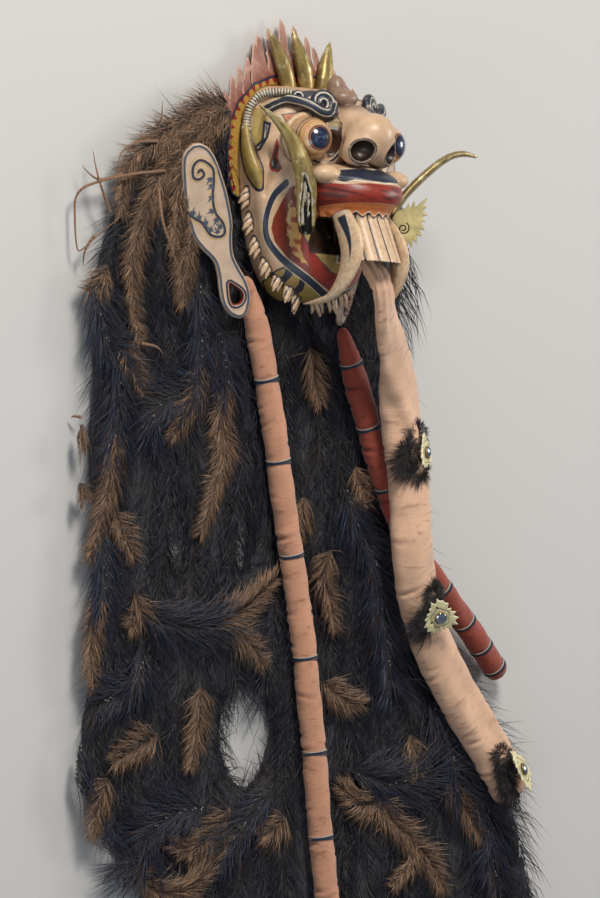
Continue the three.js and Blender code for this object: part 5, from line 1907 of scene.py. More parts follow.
BLACK, BROWN = Coat.BLACK, Coat.BROWN
SPINES = (
    string_of(BROWN, (-140, 46), (-178, 42), (-212, 24), (-242, -6), (-262, -44)),
    string_of(BROWN, (-132, 34), (-166, 18), (-186, -22), (-196, -70), (-203, -120), (-206, -170)),
    string_of(BROWN, (-160, 30), (-204, -2), (-246, -44), (-268, -96)),
    string_of(
        BROWN, (-257, -38), (-275, -72), (-296, -112), (-307, -147), (-310, -182), (-307, -227), (-296, -266)
    ),
    string_of(
        BLACK, (-380, -182), (-373, -207), (-366, -247), (-349, -271), (-335, -296), (-335, -336),
        (-342, -381), (-345, -398)
    ),
    string_of(BROWN, (-338, -376), (-345, -406), (-352, -446), (-370, -495), (-387, -540)),
    string_of(BLACK, (-363, -505), (-363, -535), (-363, -570), (-370, -610)),
    string_of(BROWN, (-371, -590), (-382, -635), (-387, -670), (-380, -704)),
    string_of(BLACK, (-190, -187), (-187, -227), (-187, -266), (-187, -296)),
    string_of(BROWN, (-189, -291), (-194, -316), (-208, -346), (-240, -386)),
    string_of(BLACK, (-155, -247), (-145, -286), (-138, -321)),
    string_of(
        BROWN, (-140, -321), (-150, -361), (-145, -396), (-150, -426), (-162, -451), (-173, -480),
        (-187, -510)
    ),
    string_of(BLACK, (-173, -316), (-222, -331), (-264, -346), (-278, -371)),
    string_of(BROWN, (-328, -266), (-315, -291), (-299, -311), (-292, -326)),
    string_of(BROWN, (-401, -371), (-412, -401), (-412, -426), (-398, -461)),
    string_of(BROWN, (-342, -485), (-328, -510), (-310, -538)),
    string_of(BROWN, (14, -271), (21, -306), (31, -341)),
    string_of(BROWN, (3, -466), (-4, -495), (-15, -525)),
    string_of(BROWN, (52, -535), (38, -565), (49, -600), (59, -635)),
    string_of(BROWN, (98, -426), (112, -456), (119, -475)),
    string_of(BLACK, (80, -456), (95, -495), (130, -545), (144, -610)),
    string_of(BROWN, (-307, -590), (-296, -615), (-314, -630)),
    string_of(BLACK, (-292, -610), (-257, -626), (-208, -631), (-159, -627)),
    string_of(BROWN, (-162, -629), (-117, -612), (-81, -592), (-53, -572)),
    string_of(BROWN, (-134, -630), (-102, -652), (-73, -679)),
    string_of(BROWN, (-187, -711), (-191, -746), (-198, -782), (-204, -809)),
    string_of(BROWN, (-266, -771), (-304, -787), (-342, -805)),
    string_of(BLACK, (-295, -657), (-298, -693), (-330, -715), (-380, -733)),
    string_of(BLACK, (-403, -782), (-410, -809), (-412, -845)),
    string_of(BROWN, (-355, -827), (-373, -858), (-380, -890), (-387, -917)),
    string_of(BLACK, (-184, -865), (-241, -874), (-282, -899), (-287, -934), (-330, -934)),
    string_of(BROWN, (-304, -948), (-266, -973), (-222, -973), (-184, -952), (-153, -917), (-134, -883)),
    string_of(BROWN, (-134, -872), (-165, -896), (-203, -919), (-241, -912)),
    string_of(BLACK, (-58, -845), (-83, -865), (-108, -885), (-146, -921)),
    string_of(BROWN, (-32, -881), (-51, -894), (-77, -903)),
    string_of(BROWN, (145, -858), (107, -865), (72, -845)),
    string_of(BLACK, (94, -823), (158, -838), (208, -832), (240, -816)),
    string_of(BROWN, (199, -778), (208, -805), (211, -827)),
    string_of(BROWN, (139, -863), (170, -890), (196, -912), (202, -939), (170, -970)),
    string_of(BROWN, (272, -836), (291, -863), (310, -885), (338, -917)),
    string_of(BROWN, (37, -706), (75, -729), (107, -735)),
    string_of(BLACK, (139, -567), (145, -612), (155, -661), (164, -711)),
    string_of(BLACK, (234, -729), (259, -773), (278, -809), (291, -845)),
    string_of(BLACK, (310, -845), (348, -885), (348, -930), (360, -970)),
    string_of(BROWN, (208, -917), (240, -948), (259, -979)),
    string_of(BROWN, (-229, 22), (-271, -3), (-310, -28), (-328, -62), (-331, -97)),
    string_of(BROWN, (-187, -8), (-222, -48), (-229, -97), (-236, -142)),
    string_of(BROWN, (-356, -167), (-370, -187), (-387, -197)),
    string_of(BROWN, (-208, -137), (-219, -167), (-219, -212)),
)
LOOSE_FIBRES = (
    (
        (-256, -43, 30), (-323, -48, 40), (-383, -60, 30), (-422, -78, 20), (-427, -97, 18), (-408, -147, 20),
        (-369, -122, 30), (-334, -102, 30)
    ),
    ((-287, -67, 50), (-290, -107, 60), (-272, -147, 60), (-245, -187, 50), (-237, -217, 45)),
    ((-355, -97, 30), (-376, -62, 34), (-377, -38, 26), (-376, -18, 20)),
    ((-232, 7, 20), (-260, 11, 20), (-248, 27, 16), (-245, 47, 14)),
    ((-270, -5, 30), (-309, -7, 34), (-334, -20, 30), (-341, -43, 30)),
    ((-340, -48, 36), (-376, -55, 30), (-399, -38, 22)),
    ((-383, -127, 30), (-394, -147, 24), (-390, -167, 16)),
    ((-302, -266, 34), (-270, -271, 30), (-246, -284, 20)),
    ((-397, -361, 20), (-407, -360, 12), (-414, -362, 8)),
)
MAT_OUTLINE = (
    (-60, 40), (-135, 38), (-205, 20), (-262, -20), (-315, -80), (-350, -150), (-358, -250), (-368, -350), (-366, -440),
    (-348, -545), (-350, -650), (-380, -755), (-368, -850), (-318, -925), (-262, -992), (-215, -1062), (-80, -1085),
    (90, -1088), (270, -1072), (418, -1042), (436, -990), (420, -930), (402, -880), (376, -812), (326, -742),
    (272, -672), (236, -600), (206, -520), (190, -430), (170, -330), (190, -230), (206, -130), (184, -30), (128, 30),
    (60, 40),
)  # fmt: skip
MAT_GAPS = (((-92, -773), (46, 66)), ((-213, -520), (15, 42)), ((-96, -515), (12, 50)))


def round_outline(centre: Sequence[float], half: Sequence[float]) -> tuple[tuple[float, float], ...]:
    """An oval outline with a given middle and half sizes."""
    angles = np.linspace(0, 2 * math.pi, 21)[:-1]
    return tuple((centre[0] + half[0] * math.cos(a), centre[1] + half[1] * math.sin(a)) for a in angles)


@dataclass(frozen=True)
class Hair:
    """Hair and palm fibre: the black hair has a cool sheen, the fibre is dry and matt.

    Attributes:
        name: Name of the material.
        roughness: Roughness of the strands.
        matted: Whether it is a felted layer with streaks.
    """

    name: str
    roughness: float = 0.42
    matted: bool = False

    def make(self) -> bpy.types.Material:
        """Builds the material, which takes its colour from the strands."""
        material, tree, shader = material_base(self.name, "#241f20", self.roughness)
        kept = add_node(tree, "ShaderNodeAttribute", {"attribute_name": "tint"}, {}).outputs["Color"]
        if self.matted:
            fibres = patches(tree, 3.2, 0.35, 0.7, (1, 12, 1))
            kept = add_node(tree, *MIX, {0: fibres, 6: kept, 7: rgba("#3d3a46")}).outputs[2]
            grain_relief(tree, shader, fibres, 2.5, 1.0)
        dusty = add_node(tree, *MIX, {0: patches(tree, 40, 0.5, 0.9), 6: kept, 7: rgba("#6b4f3a")}).outputs[2]
        colour = add_node(tree, *MIX, {0: 0.22, 6: kept, 7: dusty}).outputs[2]
        tree.links.new(colour, shader.inputs["Base Color"])
        shader.inputs["Sheen Weight"].default_value = 0.12
        shader.inputs["Specular IOR Level"].default_value = 0.35
        return material


@dataclass
class Strands:
    """Bent hairs, each a thin three-sided spike, gathered until they are made one mesh.

    Attributes:
        batches: Points and colours of the hairs that are already there.
    """

    batches: list[tuple[np.ndarray, np.ndarray]]

    def add(
        self, roots: np.ndarray, first: np.ndarray, last: np.ndarray, length: np.ndarray, width: np.ndarray,
        tint: np.ndarray, tip_tint: np.ndarray
    ) -> None:
        """Adds hairs.

        Args:
            roots: Root of each hair.
            first: Its direction at the root.
            last: Its direction at the tip.
            length: Its length.
            width: Its width at the root.
            tint: Colour at the root, linear.
            tip_tint: Colour at the tip, linear.
        """
        first = first / np.linalg.norm(first, axis=1, keepdims=True)
        last = last / np.linalg.norm(last, axis=1, keepdims=True)
        reach = length[:, None]
        control = roots + first * reach * 0.5
        tip = control + last * reach * 0.5
        middle = 0.25 * roots + 0.5 * control + 0.25 * tip
        for stop in (middle, tip):
            stop[:, 2] = np.maximum(stop[:, 2], FLOOR_GAP)
        across = np.cross(first, [0.0, 0.0, 1.0]) + 1e-6
        across /= np.linalg.norm(across, axis=1, keepdims=True)
        normal = np.cross(across, first)
        rings = []
        for place, share in ((roots, 0.5), (middle, 0.42)):
            for angle in np.radians((90, 210, 330)):
                way = across * math.cos(angle) + normal * math.sin(angle)
                rings.append(place + way * (width * share)[:, None])
        points = np.stack([*rings, tip], axis=1)
        middle_tint = (tint + tip_tint) / 2
        tints = np.stack([tint] * 3 + [middle_tint] * 3 + [tip_tint], axis=1)
        left, right, end = STRAND_BOX
        within = (tip[:, 0] > left) & (tip[:, 0] < right) & (tip[:, 1] > end)
        points, tints = points[within], tints[within]
        self.batches.append((points, tints))

    def pieces(self, name: str, most: int, material: bpy.types.Material) -> list[bpy.types.Object]:
        """Makes the meshes, from left to right, with at most a given number of hairs each."""
        points = np.vstack([p for p, _ in self.batches])
        tints = np.vstack([t for _, t in self.batches])
        order = np.argsort(points[:, 0, 0])
        spike = [(0, 1, 2)]
        for k in range(3):
            n = (k + 1) % 3
            spike += [(k, k + 3, n + 3), (k, n + 3, n), (k + 3, 6, n + 3)]
        parts = np.array_split(order, max(1, math.ceil(len(order) / most)))
        made = []
        for number, part in enumerate(parts, 1):
            faces = (np.array(spike)[None] + 7 * np.arange(len(part))[:, None, None]).reshape(-1, 3)
            numbers = {"tint": tints[part].reshape(-1, 3)}
            hairs = points[part].reshape(-1, 3)
            made.append(
                make_piece(f"{name}_{number}", hairs, faces, Place.MANTLE, material, True, numbers)
            )
        return made


def tube(
    line: np.ndarray, widths: np.ndarray, thicks: np.ndarray, sides: int,
    broad: Sequence[float] = SLEEVE_BROAD
) -> tuple[np.ndarray, list[list[int]], np.ndarray]:
    """A closed tube of oval section along a line.

    Args:
        line: Points of its middle line.
        widths: Full width at each point.
        thicks: Full thickness at each point.
        sides: Number of sides.
        broad: Direction of its width.

    Returns:
        Points, faces and, for each point, its distance along the line.
    """
    along = np.gradient(line, axis=0)
    along /= np.linalg.norm(along, axis=1, keepdims=True)
    across = np.array(broad, dtype=float) - along * (along @ np.array(broad, dtype=float))[:, None]
    across /= np.linalg.norm(across, axis=1, keepdims=True)
    up = np.cross(across, along)
    turn = np.linspace(0, 2 * math.pi, sides, endpoint=False)
    ring = line[:, None] + across[:, None] * (np.cos(turn)[None, :, None] * widths[:, None, None] / 2)
    ring = ring + up[:, None] * (np.sin(turn)[None, :, None] * thicks[:, None, None] / 2)
    count = len(line)
    i, j = np.meshgrid(np.arange(count - 1), np.arange(sides), indexing="ij")
    a, b = i * sides + j, i * sides + (j + 1) % sides
    faces = np.stack([a, b, b + sides, a + sides], -1).reshape(-1, 4).tolist()
    faces += [list(range(sides - 1, -1, -1)), list(range((count - 1) * sides, count * sides))]
    run = np.concatenate([[0], np.cumsum(np.linalg.norm(np.diff(line, axis=0), axis=1))])
    return ring.reshape(-1, 3), faces, np.repeat(run, sides)


@dataclass(frozen=True)
class Mantle:
    """The mantle: strings with black hair and brown palm fibre on a dark mat.

    Attributes:
        thick: Thickness of the mat under the strands.
        column: Distance between the strings that fill the mat.
        most: Most hairs in one piece.
    """

    thick: float = 13.0
    column: float = 44.0
    most: int = 19000

    def mat(self) -> bpy.types.Object:
        """The dark felted layer under the strands."""
        outline = smooth_line((*MAT_OUTLINE, MAT_OUTLINE[0]), 150)[:-1]
        gaps = tuple(round_outline(centre, half) for centre, half in MAT_GAPS)

        def relief(x: np.ndarray, y: np.ndarray) -> np.ndarray:
            """Low waves of the matted hair."""
            return 1.2 * np.sin(x / 17 + 2 * np.sin(y / 60)) + 0.9 * np.sin(y / 41 + x / 30)

        clay = Clay((-395, -1100, -3), (450, 50, 21), 6.0)
        clay.add(Board(tuple(map(tuple, outline)), gaps, self.thick, lambda x, y: 8.0 + 0 * x, relief, 4.0))
        points, faces = clay.coarse_mesh(0.4)
        light = np.random.default_rng(SEED).uniform(0.6, 1.6, (len(points), 1))
        numbers = {"tint": np.array(linear("#17151a")) * light}
        felt = Hair("Matted black hair and string", 0.7, True).make()
        piece = make_piece("mantle_ground", points, faces, Place.MANTLE, felt, True, numbers)
        return finish_piece(piece, "mantle_hair", "mantle_mat")

    def fillers(self) -> list[Spine]:
        """Strings that run down the whole mat, side by side."""
        draw = np.random.default_rng(SEED + 1)
        strings = []
        x = -352.0
        while x < 425:
            phase, sway = draw.uniform(0, 6), draw.uniform(10, 20)
            lean = x * 0.12
            line = [
                (x + lean * (k / 24) ** 2 + sway * math.sin(phase + k * 0.55), 36 - k * 47.0)
                for k in range(24)
            ]
            strings.append(Spine(Coat.BLACK, tuple(line), 15.0))
            x += self.column * draw.uniform(0.8, 1.15)
        for start, stop in ((1, 16), (-3, 17)):
            edge = MAT_OUTLINE[start:stop] if start > 0 else MAT_OUTLINE[stop:start][::-1]
            line = []
            for point in np.array(edge, dtype=float):
                inward = np.mean(MAT_OUTLINE, axis=0) - point
                line.append(tuple(point + inward / np.linalg.norm(inward) * 12))
            strings.append(Spine(Coat.BLACK, tuple(line), 17.0))
        for centre, half in MAT_GAPS:
            line = round_outline(centre, (half[0] + 7, half[1] + 7))
            strings.append(Spine(Coat.BLACK, (*line, line[0]), 13.0, wild=True))
        return strings

    def knot(self, strands: Strands, spine: Spine, number: int, spacing: float, per_side: int) -> None:
        """Knots hair or fibre along both sides of a string.

        Args:
            strands: Where the hairs are gathered.
            spine: The string.
            number: Number of the string, for its own random draws.
            spacing: Distance between knots.
            per_side: Hairs of a knot on each side.
        """
        draw = np.random.default_rng(SEED * 100 + number)
        length = sum(math.dist(a, b) for a, b in zip(spine.line, spine.line[1:]))
        stations = smooth_line(spine.line, max(4, int(length / spacing)))
        along = np.gradient(stations, axis=0)
        along /= np.linalg.norm(along, axis=1, keepdims=True)
        x, y = stations.T
        keep = inside_outline(x, y, MAT_OUTLINE) > (14 if spine.height < 16 else -40)
        for centre, half in MAT_GAPS:
            keep &= inside_outline(x, y, round_outline(centre, half)) < (-4 if spine.height < 20 else 6)
        stations, along = stations[keep], along[keep]
        if not len(stations):
            return
        brown = spine.coat is Coat.BROWN
        share = np.repeat(np.linspace(0, 1, len(stations)), 2 * per_side)
        side = np.tile(np.repeat([-1.0, 1.0], per_side), len(stations))
        count = len(side)
        tuft = np.repeat(draw.normal(0, 7, 2 * len(stations)), per_side)
        base = np.column_stack([np.repeat(stations, 2 * per_side, axis=0), np.full(count, spine.height)])
        base += draw.normal(0, 1.1, (count, 3))
        down = np.repeat(along, 2 * per_side, axis=0)
        out = np.column_stack([-down[:, 1], down[:, 0]]) * side[:, None]
        opening = np.radians(draw.normal(46 if brown else 40, 11, count) + tuft)
        stray = draw.random(count) < 0.12
        swerve = np.radians(draw.normal(0, 60 if spine.wild else 35, count))
        opening = np.where(stray | spine.wild, opening + swerve, opening)
        closing = opening * draw.uniform(0.1, 0.9, count)
        ways = []
        for angle, low, high in ((opening, 0.02, 0.5), (closing, -0.35, 0.02)):
            flat = down * np.cos(angle)[:, None] + out * np.sin(angle)[:, None]
            ways.append(np.column_stack([flat, draw.uniform(low, high, count)]))
        taper = np.clip(1.25 - 0.75 * share, 0.45, 1.0) if brown else 1.0
        shortest, longest = (26, 56) if brown else (30, 60) if spine.wild else (42, 96)
        size = draw.uniform(shortest, longest, count) * taper
        width = draw.uniform(0.9, 1.5, count) if brown else draw.uniform(0.8, 1.35, count)
        light = draw.uniform(0.45, 1.35, (count, 1))
        light = light * np.repeat(draw.uniform(0.7, 1.2, (len(stations), 1)), 2 * per_side, axis=0)
        # The hairs of the low filler strings are painted darker as shade under the strings above, and those of the
        # higher strings lighter as painted light.
        light = light * (0.62 if spine.height < 20 else 1.2)
        if brown:
            root, tip = np.array(linear("#58402e")) * light, np.array(linear("#a9886b")) * light
        else:
            # The blue-grey tips of the black hair are a painted sheen.
            root, tip = np.array(linear("#14151d")) * light, np.array(linear("#343c55")) * light
            rusty = draw.random((count, 1)) < 0.12
            tip = np.where(rusty, np.array(linear("#5a4132")) * light, tip)
        strands.add(base, *ways, size, width, root, tip)
        if spine.stitched:
            shown = np.flatnonzero(draw.random(len(stations)) < 0.27)
            many = len(shown)
            top = np.full(many, spine.height + 3.5)
            dots = np.column_stack([stations[shown] + draw.normal(0, 0.9, (many, 2)), top])
            heading = np.column_stack([along[shown] + draw.normal(0, 0.4, (many, 2)), np.zeros(many)])
            white = np.tile(linear("#b8b2a4"), (many, 1))
            length, width = draw.uniform(2.2, 4.4, many), draw.uniform(1.2, 2.1, many)
            strands.add(dots, heading, heading, length, width, white, white)

    def loose(self) -> list[bpy.types.Object]:
        """The bare stiff fibres that stand away from the mantle."""
        made = []
        paint = Hair("Dry palm fibre", 0.6).make()
        for number, line in enumerate(LOOSE_FIBRES, 1):
            path = smooth_line(line, 14 * len(line))
            over = np.maximum(FIBRE_EDGE - path[:, 0], 0)
            path[:, 0] = np.maximum(path[:, 0], FIBRE_EDGE) - 17 * (1 - np.exp(-over / 17))
            wide = spread((4.6, 4.3, 3.8, 3.0, 1.9, 0.7), len(path))
            points, faces, run = tube(path, wide, wide, 6, (0.3, 0.2, 1.0))
            numbers = {"tint": np.array(linear("#8d6b50")) * (0.8 + 0.35 * np.sin(run * 1.1)[:, None])}
            piece = make_piece(f"palm_fibre_{number}", points, faces, Place.MANTLE, paint, True, numbers)
            made.append(finish_piece(piece, "mantle_hair"))
        return made

    def build(self) -> None:
        """Makes the mat, the strands and the loose fibres."""
        self.mat()
        strands = Strands([])
        for number, spine in enumerate(self.fillers()):
            self.knot(strands, spine, number, 8.8, 5)
        for number, spine in enumerate(SPINES):
            self.knot(strands, spine, 100 + number, 4.6, 9)
        pieces = strands.pieces("mantle_hair", self.most, Hair("Black hair and brown palm fibre").make())
        nodes = [f"mantle_tress_{k:02d}" for k in range(1, 11)]
        for piece, share in zip(pieces, np.array_split(nodes, len(pieces))):
            finish_piece(piece, "mantle_hair", *share.tolist())
        self.loose()


# Stuffed cloth


@dataclass(frozen=True)
class Cotton:
    """Plain cotton rubbed by age: matt, with a faint weave, painted shade in the creases and folds, and brown stains.

    Attributes:
        name: Name of the material.
        ground: Colour of the cloth.
        stain: Colour of its stains.
        crease: Colour of the painted shade in the creases and folds.
    """

    name: str
    ground: str
    stain: str
    crease: str

    def make(self) -> bpy.types.Material:
        """Builds the material. Its pattern follows the cloth by stored run, side and top values."""
        material, tree, shader = material_base(self.name, self.ground, 0.82)
        on_cloth = {}
        for number, key in enumerate(("run", "side", "top")):
            kept = add_node(tree, "ShaderNodeAttribute", {"attribute_name": key}, {})
            on_cloth[number] = kept.outputs["Fac"]
        place = add_node(tree, "ShaderNodeCombineXYZ", {}, on_cloth).outputs[0]
        patterns = []
        for scale, detail, distortion in (((1 / 7, 0.9, 0.9), 3.0, 0.4), ((1 / 1.4, 9, 9), 2.0, 0.0)):
            spot = add_node(tree, "ShaderNodeMapping", {}, {"Vector": place, "Scale": scale}).outputs[0]
            noise = {"Vector": spot, "Scale": 1.0, "Detail": detail, "Distortion": distortion}
            patterns.append(add_node(tree, "ShaderNodeTexNoise", {}, noise).outputs[0])
        fold, weave = patterns
        faded, stained = patches(tree, 55, 0.35, 0.75), patches(tree, 16, 0.6, 0.82)
        colour = add_node(tree, *MIX, {0: faded, 6: rgba(self.ground), 7: rgba(self.ground, 0.78)}).outputs[2]
        colour = add_node(tree, *MIX, {0: stained, 6: colour, 7: rgba(self.stain)}).outputs[2]
        # Darker in the low parts of the folds and where creases are pressed in: painted shade.
        low = add_node(tree, *RANGE, {"Value": fold, "From Min": 0.43, "From Max": 0.3}).outputs[0]
        soft = add_node(tree, *TIMES, {0: low, 1: 0.45}).outputs[0]
        colour = add_node(tree, *MIX, {0: soft, 6: colour, 7: rgba(self.crease)}).outputs[2]
        pressed = add_node(tree, "ShaderNodeAttribute", {"attribute_name": "crease"}, {}).outputs["Fac"]
        colour = add_node(tree, *MIX, {0: pressed, 6: colour, 7: rgba(self.crease)}).outputs[2]
        tree.links.new(colour, shader.inputs["Base Color"])
        shader.inputs["Sheen Weight"].default_value = 0.25
        shader.inputs["Sheen Roughness"].default_value = 0.5
        relief = add_node(tree, "ShaderNodeMath", {"operation": "MULTIPLY_ADD"}, {0: weave, 1: 0.12, 2: fold})
        grain_relief(tree, shader, relief.outputs[0], 1.6, 0.55)
        return material


def puff(piece: bpy.types.Object, held: np.ndarray, pressure: float, cap_mm: float) -> None:
    """Swells a stuffed piece with a short cloth simulation and keeps its result.

    Args:
        piece: The piece, a closed mesh.
        held: Share from 0 to 1 that each point is held in place.
        pressure: Pressure of the stuffing.
        cap_mm: Farthest that a point may move.
    """
    scene = bpy.context.scene
    group = piece.vertex_groups.new(name="held")
    for index in np.flatnonzero(held > 0.02):
        group.add([int(index)], float(held[index]), "REPLACE")
    cloth = piece.modifiers.new("Cloth", "CLOTH")
    settings = cloth.settings
    settings.quality = 5
    settings.mass = 0.2
    settings.tension_stiffness = 25
    settings.compression_stiffness = 12
    settings.bending_stiffness = 0.6
    settings.use_pressure = True
    settings.uniform_pressure_force = pressure
    settings.vertex_group_mass = "held"
    settings.effector_weights.gravity = 0
    cloth.point_cache.frame_start = 1
    cloth.point_cache.frame_end = 20
    start = np.array([v.co[:] for v in piece.data.vertices])
    for step in range(1, 21):
        scene.frame_set(step)
    swollen = piece.evaluated_get(bpy.context.evaluated_depsgraph_get()).to_mesh()
    moved = np.array([v.co[:] for v in swollen.vertices]) - start
    piece.modifiers.remove(cloth)
    far = np.linalg.norm(moved, axis=1, keepdims=True)
    moved *= np.minimum(1, cap_mm / 1000 / np.maximum(far, 1e-9))
    piece.data.vertices.foreach_set("co", (start + moved).astype(np.float32).ravel())
    piece.data.update()
    scene.frame_set(1)
    log.info("%s: swelled by up to %.1f mm", piece.name, 1000 * float(np.linalg.norm(moved, axis=1).max()))


@dataclass(frozen=True)
class Crease:
    """One crease across a stuffed piece.

    Attributes:
        run: Its distance along the piece.
        turn: Angle of its middle round the piece, 90 degrees on top.
        spread: How far it reaches round the piece, in degrees.
        depth: Its depth.
        slant: How far it runs along the piece as it goes round.
    """

    run: float
    turn: float
    spread: float
    depth: float
    slant: float


@dataclass(frozen=True)
class Stuffed:
    """A sleeve of cotton, stuffed and closed at both ends.

    Attributes:
        name: Name of the piece.
        node: The solid that it stands for.
        slot: Its material slot.
        line: Points of its middle line.
        width: Full width.
        thick: Full thickness.
        gather: Share of its size at its start, and the share of its length where it is full.
        bands: Where thread is wound round it, as y on the floor, in millimetres.
        ties: Shares of its length where it is drawn in.
        finish: Its cloth.
        creases: Number of creases across it.
        seed: Seed of the creases' places.
        sides: Sides of the sleeve before it is rounded.
        pleats: Depth of the long folds at its gathered start.
    """

    name: str
    node: str
    slot: str
    line: tuple[Point, ...]
    width: float
    thick: float
    gather: tuple[float, float, float]
    bands: tuple[float, ...]
    ties: tuple[float, ...]
    finish: Cotton
    creases: int
    seed: int
    sides: int = 22
    pleats: float = 0.0

    def path(self, count: int) -> np.ndarray:
        """Points of the middle line."""
        return smooth_line(self.line, count)

    def length(self) -> float:
        """Length of the middle line."""
        path = self.path(200)
        return float(np.linalg.norm(np.diff(path, axis=0), axis=1).sum())

    def band_shares(self) -> list[float]:
        """Shares of the length where thread is wound round it."""
        path = self.path(400)
        return [float(np.abs(path[:, 1] - y).argmin()) / 399 for y in self.bands]

    def build(self) -> bpy.types.Object:
        """Makes the sleeve, swells it, creases it and dresses it."""
        length = self.length()
        count = int(length / 5)
        path = self.path(count)
        share = np.linspace(0, 1, count)
        low, begin, full = self.gather
        s = np.clip((share - begin) / (full - begin), 0, 1)
        size = low + (1 - low) * s * s * (3 - 2 * s)
        rounding = 14 / length
        ends = np.minimum(share, 1 - share) / rounding
        size = size * np.sqrt(np.clip(1 - (1 - np.clip(ends, 0.05, 1)) ** 2, 0.08, 1)) * 0.95
        held = np.zeros(count)
        for tie in (*self.band_shares(), *self.ties):
            near = np.abs(share - tie) * length
            held = np.maximum(held, np.clip(1.6 - near / 4, 0, 1))
            size = size * (1 - 0.07 * np.exp(-((near / 5) ** 2)))
        held[:3], held[-3:] = 1, 1
        held = np.maximum(held, np.clip(1 - share / 0.08, 0, 1) if self.gather[0] < 0.9 else 0)
        points, faces, run = tube(path, self.width * size, self.thick * size, self.sides)
        piece = make_piece(self.name, points, faces, Place.MANTLE, self.finish.make())
        pins = np.concatenate([np.repeat(held, self.sides), [1.0] * (len(points) - count * self.sides)])
        puff(piece, pins, 4.0, 5.0)
        turn = np.tile(np.linspace(0, 2 * math.pi, self.sides, endpoint=False), count)
        store(piece.data, "run", run[: len(points)])
        store(piece.data, "side", np.cos(turn))
        store(piece.data, "top", np.sin(turn))
        self.soften(piece)
        self.crumple(piece, path, length)
        if self.bands:
            self.wind(path, size)
        return finish_piece(piece, self.slot, self.node)

    def soften(self, piece: bpy.types.Object) -> None:
        """Rounds the mesh with one level of subdivision, applied."""
        deselect()
        smoothing = piece.modifiers.new("Rounding", "SUBSURF")
        smoothing.levels = smoothing.render_levels = 1
        piece.select_set(True)
        bpy.context.view_layer.objects.active = piece
        bpy.ops.object.modifier_apply(modifier=smoothing.name)
        piece.data.shade_smooth()

    def crumple(self, piece: bpy.types.Object, path: np.ndarray, length: float) -> None:
        """Presses creases and soft dents into the cloth."""
        draw = np.random.default_rng(self.seed)
        mesh = piece.data
        count = len(mesh.vertices)
        points = np.empty(count * 3)
        mesh.vertices.foreach_get("co", points)
        points = points.reshape(-1, 3) * 1000
        run, side, top = (stored(mesh, key) for key in ("run", "side", "top"))
        turn = np.degrees(np.arctan2(top, side))
        at = run / length * (len(path) - 1)
        centre = np.column_stack([np.interp(at, np.arange(len(path)), path[:, k]) for k in range(3)])
        out = points - centre
        reach = np.linalg.norm(out, axis=1, keepdims=True)
        out /= np.maximum(reach, 1e-6)
        depth = np.zeros(count)
        creases = [
            Crease(
                draw.uniform(12, length - 12),
                draw.uniform(-30, 210),
                draw.uniform(35, 95),
                draw.uniform(0.7, 2.4),
                draw.uniform(-7, 7),
            )
            for _ in range(self.creases)
        ]
        for tie in (*self.band_shares(), *self.ties):
            for _ in range(3):
                beside = tie * length + draw.choice([-6.0, 6.0]) + draw.uniform(-2, 2)
                creases.append(Crease(beside, draw.uniform(0, 180), 50, 1.2, draw.uniform(-4, 4)))
        for crease in creases:
            away = (turn - crease.turn + 180) % 360 - 180
            off = run - crease.run - crease.slant * away / 90
            fade = np.clip(1 - np.abs(away) / crease.spread, 0, 1) ** 0.6
            ridges = 0.45 * np.exp(-(((np.abs(off) - 6) / 3.5) ** 2))
            depth += crease.depth * fade * (np.exp(-((off / 2.6) ** 2)) - ridges)
        near_start = np.clip(1.6 - run / 95, 0, 1) * np.clip(run / 30, 0, 1)
        pleats = self.pleats * np.cos(np.radians(turn) * 9 + run / 60) * near_start
        dents = 0.8 * np.sin(run / 23 + 1.4 * top) * np.sin(run / 9.1 + 2.3 * side)
        inside = np.clip(reach[:, 0] / 8 - 0.4, 0, 1)
        points -= out * ((depth + dents + pleats) * inside)[:, None]
        mesh.vertices.foreach_set("co", (points / 1000).astype(np.float32).ravel())
        # How deep each point is pressed into a crease, for the painted shade there.
        store(mesh, "crease", np.clip(depth / 2.4 - 0.12, 0, 0.75))
        mesh.update()

    def wind(self, path: np.ndarray, size: np.ndarray) -> None:
        """Winds dark thread round the roll at each band, four turns with a pale one at the top."""
        along = np.gradient(path, axis=0)
        along /= np.linalg.norm(along, axis=1, keepdims=True)
        points, faces, tints = [], [], []
        total = 0
        for share in self.band_shares():
            at = share * (len(path) - 1)
            middle = np.array([np.interp(at, np.arange(len(path)), path[:, k]) for k in range(3)])
            way = along[int(round(at))]
            broad = np.array(SLEEVE_BROAD) - way * (way @ np.array(SLEEVE_BROAD))
            broad /= np.linalg.norm(broad)
            up = np.cross(broad, way)
            radius = np.interp(at, np.arange(len(size)), size) * self.width / 2 + 0.75
            for number, colour in enumerate(("#a9a59a", "#2a3348", "#1d2436", "#2a3348")):
                angles = np.linspace(0, 2 * math.pi, 25)
                outwards = np.cos(angles)[:, None] * broad + np.sin(angles)[:, None] * up
                thread = middle + way * (number * 1.55 - 2.6) + radius * outwards
                thread = thread + way * (0.7 * np.sin(angles * 2 + number))[:, None]
                wide = np.full(len(thread), 1.7)
                new_points, new_faces, _ = tube(thread, wide, wide, 5, way)
                points.append(new_points)
                faces += [[i + total for i in face] for face in new_faces]
                tints.append(np.tile(linear(colour), (len(new_points), 1)))
                total += len(new_points)
        cotton = Hair("Wound cotton thread", 0.75).make()
        numbers = {"tint": np.vstack(tints)}
        name = f"{self.name}_thread"
        piece = make_piece(name, np.vstack(points), faces, Place.MANTLE, cotton, True, numbers)
        finish_piece(piece, self.slot)


